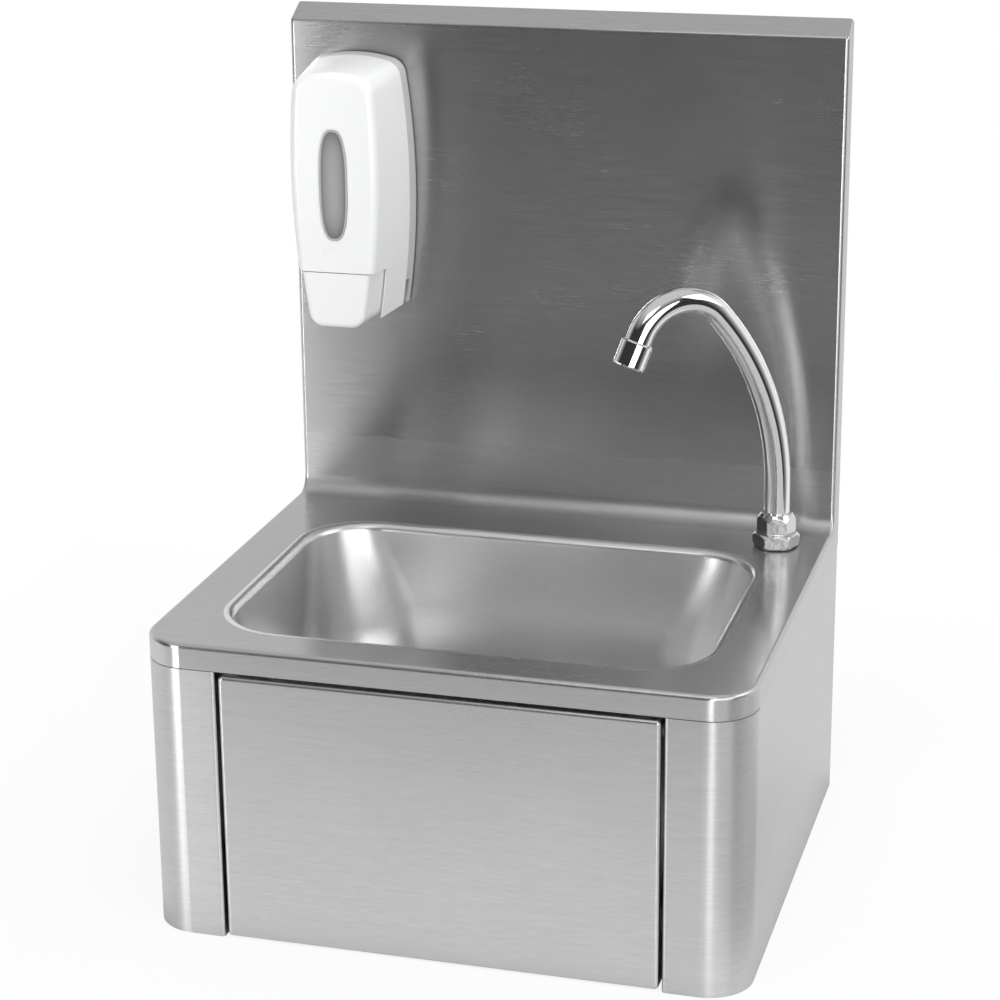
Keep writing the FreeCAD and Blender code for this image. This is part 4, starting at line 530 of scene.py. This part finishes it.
def hose_line():
    """Points along the hose's own smooth line, read from its spline."""
    data = bpy.data.curves.new("hose_route", "CURVE")
    data.dimensions = "3D"
    spline = data.splines.new("NURBS")
    spline.points.add(len(HOSE_ROUTE) - 1)
    for point, place in zip(spline.points, HOSE_ROUTE):
        point.co = (*place, 1.0)
    spline.order_u = HOSE_SPLINE_ORDER
    spline.use_endpoint_u = True
    spline.resolution_u = HOSE_SPLINE_STEPS
    holder = bpy.data.objects.new("hose_route", data)
    scene.collection.objects.link(holder)
    mesh = bpy.data.meshes.new_from_object(holder)
    line = [vertex.co.copy() for vertex in mesh.vertices]
    bpy.data.objects.remove(holder)
    bpy.data.curves.remove(data)
    bpy.data.meshes.remove(mesh)
    return line


def weave_height(turn, along):
    """How far the sleeve stands out at a share of a turn and a length along it, from 0 to 1."""
    one = HOSE_STRANDS * turn + along / HOSE_PITCH
    two = HOSE_STRANDS * turn - along / HOSE_PITCH
    over = (math.floor(one) + math.floor(two)) % 2
    across, down = (one, two) if over else (two, one)
    crown = 1.0 - (2.0 * (across % 1.0) - 1.0) ** 2
    swell = 0.5 + 0.5 * math.sin(math.pi * (down % 1.0))
    return crown * swell


def make_hose():
    """The feed hose with its woven steel sleeve, in place of the plain solid."""
    line = hose_line()
    run = [0.0]
    for first, second in zip(line, line[1:]):
        run.append(run[-1] + (second - first).length)
    rings = int(run[-1] / HOSE_STEP)
    points, faces, spot = [], [], 0
    normal = UP
    for ring in range(rings + 1):
        along = run[-1] * ring / rings
        while spot < len(line) - 2 and run[spot + 1] < along:
            spot += 1
        share = (along - run[spot]) / (run[spot + 1] - run[spot])
        centre = line[spot].lerp(line[spot + 1], share)
        way = (line[spot + 1] - line[spot]).normalized()
        normal = (normal - way * normal.dot(way)).normalized()
        side = way.cross(normal)
        for step in range(HOSE_SIDES):
            turn = step / HOSE_SIDES
            out = normal * math.cos(2.0 * math.pi * turn) + side * math.sin(2.0 * math.pi * turn)
            points.append(centre + out * (HOSE_RADIUS - HOSE_WEAVE * (1.0 - weave_height(turn, along))))
        if ring:
            low, high = HOSE_SIDES * (ring - 1), HOSE_SIDES * ring
            for step in range(HOSE_SIDES):
                after = (step + 1) % HOSE_SIDES
                faces.append((low + step, low + after, high + after, high + step))
    last = HOSE_SIDES * rings
    faces.append(tuple(reversed(range(HOSE_SIDES))))
    faces.append(tuple(range(last, last + HOSE_SIDES)))
    hose = add_piece("hose_sleeve", points, faces, "hose", "casing")
    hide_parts("feed_hose")


# The window's trim, grey as painted shade along the window's stepped edge: its section, as growth past the
# window's edge and height over its front.
BEZEL_STEPS = 96
BEZEL_SECTION = (
    (-0.0014, -0.0001),
    (-0.0012, 0.0002),
    (-0.0005, 0.0003),
    (0.0001, 0.0002),
    (0.0003, -0.0002),
)
OVAL_BLUNT_SHARE = 0.72


def blunt(value):
    """A sine or cosine bent so that its ellipse becomes the window's blunt oval."""
    return math.copysign(abs(value) ** OVAL_BLUNT_SHARE, value)


def make_bezel():
    """The raised trim round the dispenser's window, its grey tone painted shade along the window's stepped
    edge.
    """
    points, faces = [], []
    for step in range(BEZEL_STEPS):
        turn = 2.0 * math.pi * step / BEZEL_STEPS
        for grow, out in BEZEL_SECTION:
            x = WINDOW_CENTRE.x + blunt(math.cos(turn)) * (WINDOW_HALF_WIDTH + grow)
            z = WINDOW_CENTRE.z + blunt(math.sin(turn)) * (WINDOW_HALF_HEIGHT + grow)
            points.append(Vector((x, WINDOW_FRONT_Y - out, z)))
    size = len(BEZEL_SECTION)
    for step in range(BEZEL_STEPS):
        low, high = size * step, size * ((step + 1) % BEZEL_STEPS)
        faces += [(low + k, high + k, high + (k + 1) % size, low + (k + 1) % size) for k in range(size)]
    add_piece("window_bezel", points, faces, "bezel", "soap_cover")


# Corners of a bar, four at each end, that make its six faces.
BAR_FACES = ((0, 1, 5, 4), (1, 2, 6, 5), (2, 3, 7, 6), (3, 0, 4, 7), (3, 2, 1, 0), (4, 5, 6, 7))

# Grip ribs on the bottle's cap, with shares of the step from rib to rib.
CAP_RIBS = 60
RIB_REACH = 0.0003
RIB_MARGIN = 0.0008
RIB_FOOT_SHARE = 0.32
RIB_TOP_SHARE = 0.12


def make_cap_ribs():
    """Grip ribs round the bottle's cap."""
    low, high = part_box("bottle_cap")
    centre = middle("bottle_cap")
    radius = (high.x - low.x) / 2.0
    section = (
        (-RIB_FOOT_SHARE, -RIB_REACH),
        (-RIB_TOP_SHARE, RIB_REACH),
        (RIB_TOP_SHARE, RIB_REACH),
        (RIB_FOOT_SHARE, -RIB_REACH),
    )
    points, faces = [], []
    for rib in range(CAP_RIBS):
        start = len(points)
        for z in (low.z + RIB_MARGIN, high.z - RIB_MARGIN):
            for share, reach in section:
                turn = 2.0 * math.pi * (rib + share) / CAP_RIBS
                x = centre.x + math.cos(turn) * (radius + reach)
                y = centre.y + math.sin(turn) * (radius + reach)
                points.append(Vector((x, y, z)))
        faces += [tuple(start + k for k in face) for face in BAR_FACES]
    add_piece("cap_ribs", points, faces, "grey", "casing", smooth=False)


# The aerator's net: rows of bars across a round mouth, with the bar's section in shares of its size.
NET_ROWS = 5
NET_EDGE_SHARE = 0.6
NET_RADIUS = 0.0086
NET_BAR = 0.00028
NET_BAR_SHARES = ((-1, -1), (-0.7, 1), (0.7, 1), (1, -1))
MOUTH_SLOPE = -0.5


def make_aerator_net():
    """The net in the mouth of the aerator."""
    mouth = [face for face in NODES["aerator_insert"].data.polygons if face.normal.z < MOUTH_SLOPE]
    area = sum(face.area for face in mouth)
    centre = sum((face.center * face.area for face in mouth), Vector()) / area
    down = sum((face.normal * face.area for face in mouth), Vector()).normalized()
    side = down.orthogonal().normalized()
    third = down.cross(side)
    points, faces = [], []
    for along, across in ((side, third), (third, side)):
        for row in range(-NET_ROWS, NET_ROWS + 1):
            shift = row * NET_RADIUS / (NET_ROWS + NET_EDGE_SHARE)
            reach = math.sqrt(NET_RADIUS**2 - shift**2)
            start = len(points)
            for end in (-reach, reach):
                for wide, deep in NET_BAR_SHARES:
                    aside = across * (shift + wide * NET_BAR)
                    points.append(centre + along * end + aside + down * deep * NET_BAR)
            faces += [tuple(start + k for k in face) for face in BAR_FACES]
    add_piece("aerator_net", points, faces, "grey", "spout", smooth=False)


# Threads: radius, length and pitch, and the ridge's reach and half width in shares of the pitch.
THREAD_STEPS = 36
THREAD_CORNERS = 4
INLET_THREAD = (0.0104775, 0.0138, 0.001814)
WASTE_THREAD = (0.0239, 0.030, 0.002309)
SHANK_THREAD = (0.010, 0.030, 0.001814)
SHANK_THREAD_GAP = 0.0002
THREAD_ROOT_SHARES = (-0.03, 0.42)
THREAD_CREST_SHARES = (0.13, 0.06)


def make_thread(name, base, size, look):
    """A helical ridge round an upright rod, from its base up."""
    radius, length, pitch = size
    side = UP.orthogonal().normalized()
    third = UP.cross(side)
    root, root_half = THREAD_ROOT_SHARES
    crest, crest_half = THREAD_CREST_SHARES
    steps = int((length / pitch - 1.0) * THREAD_STEPS)
    points, faces = [], []
    for step in range(steps + 1):
        turn = 2.0 * math.pi * step / THREAD_STEPS
        out = side * math.cos(turn) + third * math.sin(turn)
        centre = base + UP * pitch * (0.5 + step / THREAD_STEPS)
        top = crest * min(1.0, 2.0 * step / THREAD_STEPS, 2.0 * (steps - step) / THREAD_STEPS)
        for reach, lift in ((root, -root_half), (top, -crest_half), (top, crest_half), (root, root_half)):
            points.append(centre + UP * pitch * lift + out * (radius + pitch * reach))
        if step:
            low, high = THREAD_CORNERS * (step - 1), THREAD_CORNERS * step
            for corner in range(THREAD_CORNERS):
                after = (corner + 1) % THREAD_CORNERS
                faces.append((low + corner, low + after, high + after, high + corner))
    last = THREAD_CORNERS * steps
    faces.append(tuple(reversed(range(THREAD_CORNERS))))
    faces.append(tuple(range(last, last + THREAD_CORNERS)))
    add_piece(name, points, faces, look, "casing", smooth=False)


def make_threads():
    """The threads of the inlets, the waste's tail and the spout's shank."""
    make_thread("cold_thread", foot("cold_inlet"), INLET_THREAD, "brass")
    make_thread("hot_thread", foot("hot_inlet"), INLET_THREAD, "brass")
    make_thread("waste_thread", foot("waste_body"), WASTE_THREAD, "grey")
    shank = middle("spout_base")
    shank.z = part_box("hose_nut_spout")[1].z + SHANK_THREAD_GAP
    make_thread("shank_thread", shank, SHANK_THREAD, "chrome")


# Crosses in screw heads, as dark plates of painted shade: arm and width, the pit's taper and depth, and
# the places of the tray's screws.
TRAY_CROSS = (0.0022, 0.0011)
WASTE_CROSS = (0.0034, 0.0014)
CROSS_ARMS = 4
CROSS_LIFT = 0.00005
CROSS_TAPER_SHARE = 0.9
CROSS_PIT_SHARE = 0.5
TRAY_SCREWS = 2
TRAY_SCREW_RADIUS = 0.004
TRAY_SCREW_SPACING = 0.075


def make_cross(name, centre, up, size):
    """A sunk cross in a screw's head: a near-black plate in the form of a plus, painted shade for the
    recess, with a pit in the middle.
    """
    side = up.orthogonal().normalized()
    third = up.cross(side)
    arm, half = size[0], size[1] / 2.0
    ring, corners = [], [(arm, -half), (arm, half), (half, half)]
    for _ in range(CROSS_ARMS):
        ring += corners
        corners = [(-b, a) for a, b in corners]
    count = len(ring)
    taper = CROSS_TAPER_SHARE
    points = [centre + side * a + third * b + up * CROSS_LIFT for a, b in ring]
    points += [centre + side * a * taper + third * b * taper - up * CROSS_LIFT for a, b in ring]
    points.append(centre - up * CROSS_LIFT * CROSS_PIT_SHARE)
    faces = [(k, (k + 1) % count, 2 * count) for k in range(count)]
    faces += [(k, k + count, (k + 1) % count + count, (k + 1) % count) for k in range(count)]
    faces.append(tuple(reversed(range(count, 2 * count))))
    add_piece(name, points, faces, "recess_shade", "casing", smooth=False)


def make_crosses():
    """The crosses of the dispenser's two screws and of the screw in the waste."""
    screws_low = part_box("dispenser_screws")[0]
    for number in range(TRAY_SCREWS):
        head = middle("dispenser_screws")
        head.y = screws_low.y
        head.z = screws_low.z + TRAY_SCREW_RADIUS + number * TRAY_SCREW_SPACING
        make_cross("tray_screw_cross_%d" % number, head, FRONT, TRAY_CROSS)
    head = middle("waste_strainer")
    head.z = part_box("waste_screw")[1].z
    make_cross("waste_screw_cross", head, UP, WASTE_CROSS)


# The room round the object: tones from front to back, and how the height dims and lightens them.
WORLD_STOPS = ((0.34, 0.04), (0.52, 0.40), (0.68, 0.97))
WORLD_DIM_SPAN = (0.40, 0.70)
WORLD_DIM_TONES = (1.0, 0.55)
WORLD_SKY_SPAN = (0.42, 0.84)
WORLD_SKY_TONES = (0.0, 0.65)


def make_world():
    """White to the camera. To the object, dark in front, bright behind, and grey above."""
    world = bpy.data.worlds.new("world")
    scene.world = world
    world.use_nodes = True
    nodes = Nodes(world.node_tree)
    _, back, up = nodes.axes("Generated")
    room = nodes.ramp(nodes.spread(back, 0.0, 1.0, (-1.0, 1.0)), WORLD_STOPS)
    dimmed = nodes.mix("MULTIPLY", room, nodes.spread(up, *WORLD_DIM_TONES, WORLD_DIM_SPAN))
    lit = nodes.mix("LIGHTEN", dimmed, nodes.spread(up, *WORLD_SKY_TONES, WORLD_SKY_SPAN))
    seen = nodes.node("LightPath").outputs["Is Camera Ray"]
    nodes.link(nodes.mix("MIX", lit, rgba(1.0), seen), nodes.tree.nodes["Background"].inputs["Color"])


# The table: its outline, and its glow by distance from the object, as seen and as mirrored.
TABLE_CORNERS = ((-3.0, -0.95), (0.85, -0.95), (0.85, 3.0), (-3.0, 3.0))
TABLE_WAVES = 3.0
TABLE_TONES = (0.85, 0.87)
TABLE_ROUGH = 0.8
SEEN_SPAN = (0.04, 0.40)
SEEN_SHARES = (0.86, 1.0)
MIRRORED_SPAN = (0.0, 0.03)
MIRRORED_SHARES = (0.0, 0.95)
DIM_SIDE_REACH = (0.02, 0.09)
DIM_SIDE_SPAN = [HALF_WIDTH + reach for reach in DIM_SIDE_REACH]
DIM_BACK_SPAN = (-0.1, 0.1)
DIM_SHARE = 0.40


def make_floor():
    """A pale table top: white far off, shaded near the object, and dimmer in reflections at the right."""
    mesh = bpy.data.meshes.new("floor")
    mesh.from_pydata([(x, y, FLOOR_Z) for x, y in TABLE_CORNERS], [], [(0, 1, 2, 3)])
    floor = bpy.data.objects.new("floor", mesh)
    scene.collection.objects.link(floor)
    look = Look("pale_floor", Roughness=TABLE_ROUGH)
    look.colour(look.noise(even(TABLE_WAVES)), *TABLE_TONES)
    across, out, _ = look.axes()
    aside = look.less(look.maths("ABSOLUTE", across), HALF_WIDTH)
    ahead = look.less(look.maths("ABSOLUTE", look.add(out, HALF_DEPTH)), HALF_DEPTH)
    reach = look.maths("MAXIMUM", aside, ahead)
    path = look.node("LightPath").outputs
    seen = look.times(path["Is Camera Ray"], look.spread(reach, *SEEN_SHARES, SEEN_SPAN))
    bounced = look.maths("MAXIMUM", path["Is Glossy Ray"], path["Is Transmission Ray"])
    mirrored = look.times(bounced, look.spread(reach, *MIRRORED_SHARES, MIRRORED_SPAN))
    beside = look.times(
        look.spread(across, 0.0, 1.0, DIM_SIDE_SPAN), look.spread(out, 1.0, 0.0, DIM_BACK_SPAN)
    )
    dim = look.times(look.times(mirrored, beside), DIM_SHARE)
    glow = look.node("Emission", ins={"Strength": look.less(1.0, dim)})
    mix = look.node("MixShader", ins={"Fac": look.add(seen, mirrored)})
    look.link(look.shader.outputs["BSDF"], mix.inputs[1])
    look.link(glow.outputs["Emission"], mix.inputs[2])
    look.link(mix.outputs["Shader"], look.tree.nodes["Material Output"].inputs["Surface"])
    mesh.materials.append(look.material)


# Soft boxes: name, place, aim, width and height in metres, power in watts, seen in reflections or not.
LAMPS = (
    ("strip_left", (-1.25, -2.0, 0.15), (-0.1, -0.3, 0.10), (0.45, 0.7), 12.5, True),
    ("strip_right", (0.62, -2.2, 0.15), (0.1, -0.3, 0.10), (0.40, 0.7), 6.5, True),
    ("box_right", (1.4, -1.85, 0.55), (0.0, -0.2, 0.2), (1.8, 1.3), 15.0, True),
    ("side_right", (1.9, -0.2, 1.3), (0.0, -0.2, 0.1), (1.2, 1.2), 9.0, True),
    ("top_front", (0.1, -1.4, 1.5), (0.0, -0.2, 0.1), (1.0, 0.6), 2.5, True),
    ("soft_front", (0.2, -0.9, 2.1), (-0.1, -0.1, 0.3), (1.4, 1.2), 17.5, False),
)


def make_lamp(name, place, aim, size, power, glossy):
    """A soft box at a place, turned to a point."""
    data = bpy.data.lights.new(name, "AREA")
    data.shape = "RECTANGLE"
    data.size, data.size_y = size
    data.energy = power
    lamp = bpy.data.objects.new(name, data)
    way = Vector(aim) - Vector(place)
    lamp.rotation_euler = way.to_track_quat("-Z", "Y").to_euler()
    lamp.location = place
    lamp.visible_glossy = glossy
    scene.collection.objects.link(lamp)


make_camera()
make_hose()
make_bezel()
make_cap_ribs()
make_aerator_net()
make_threads()
make_crosses()
make_world()
make_floor()
for lamp_row in LAMPS:
    make_lamp(*lamp_row)
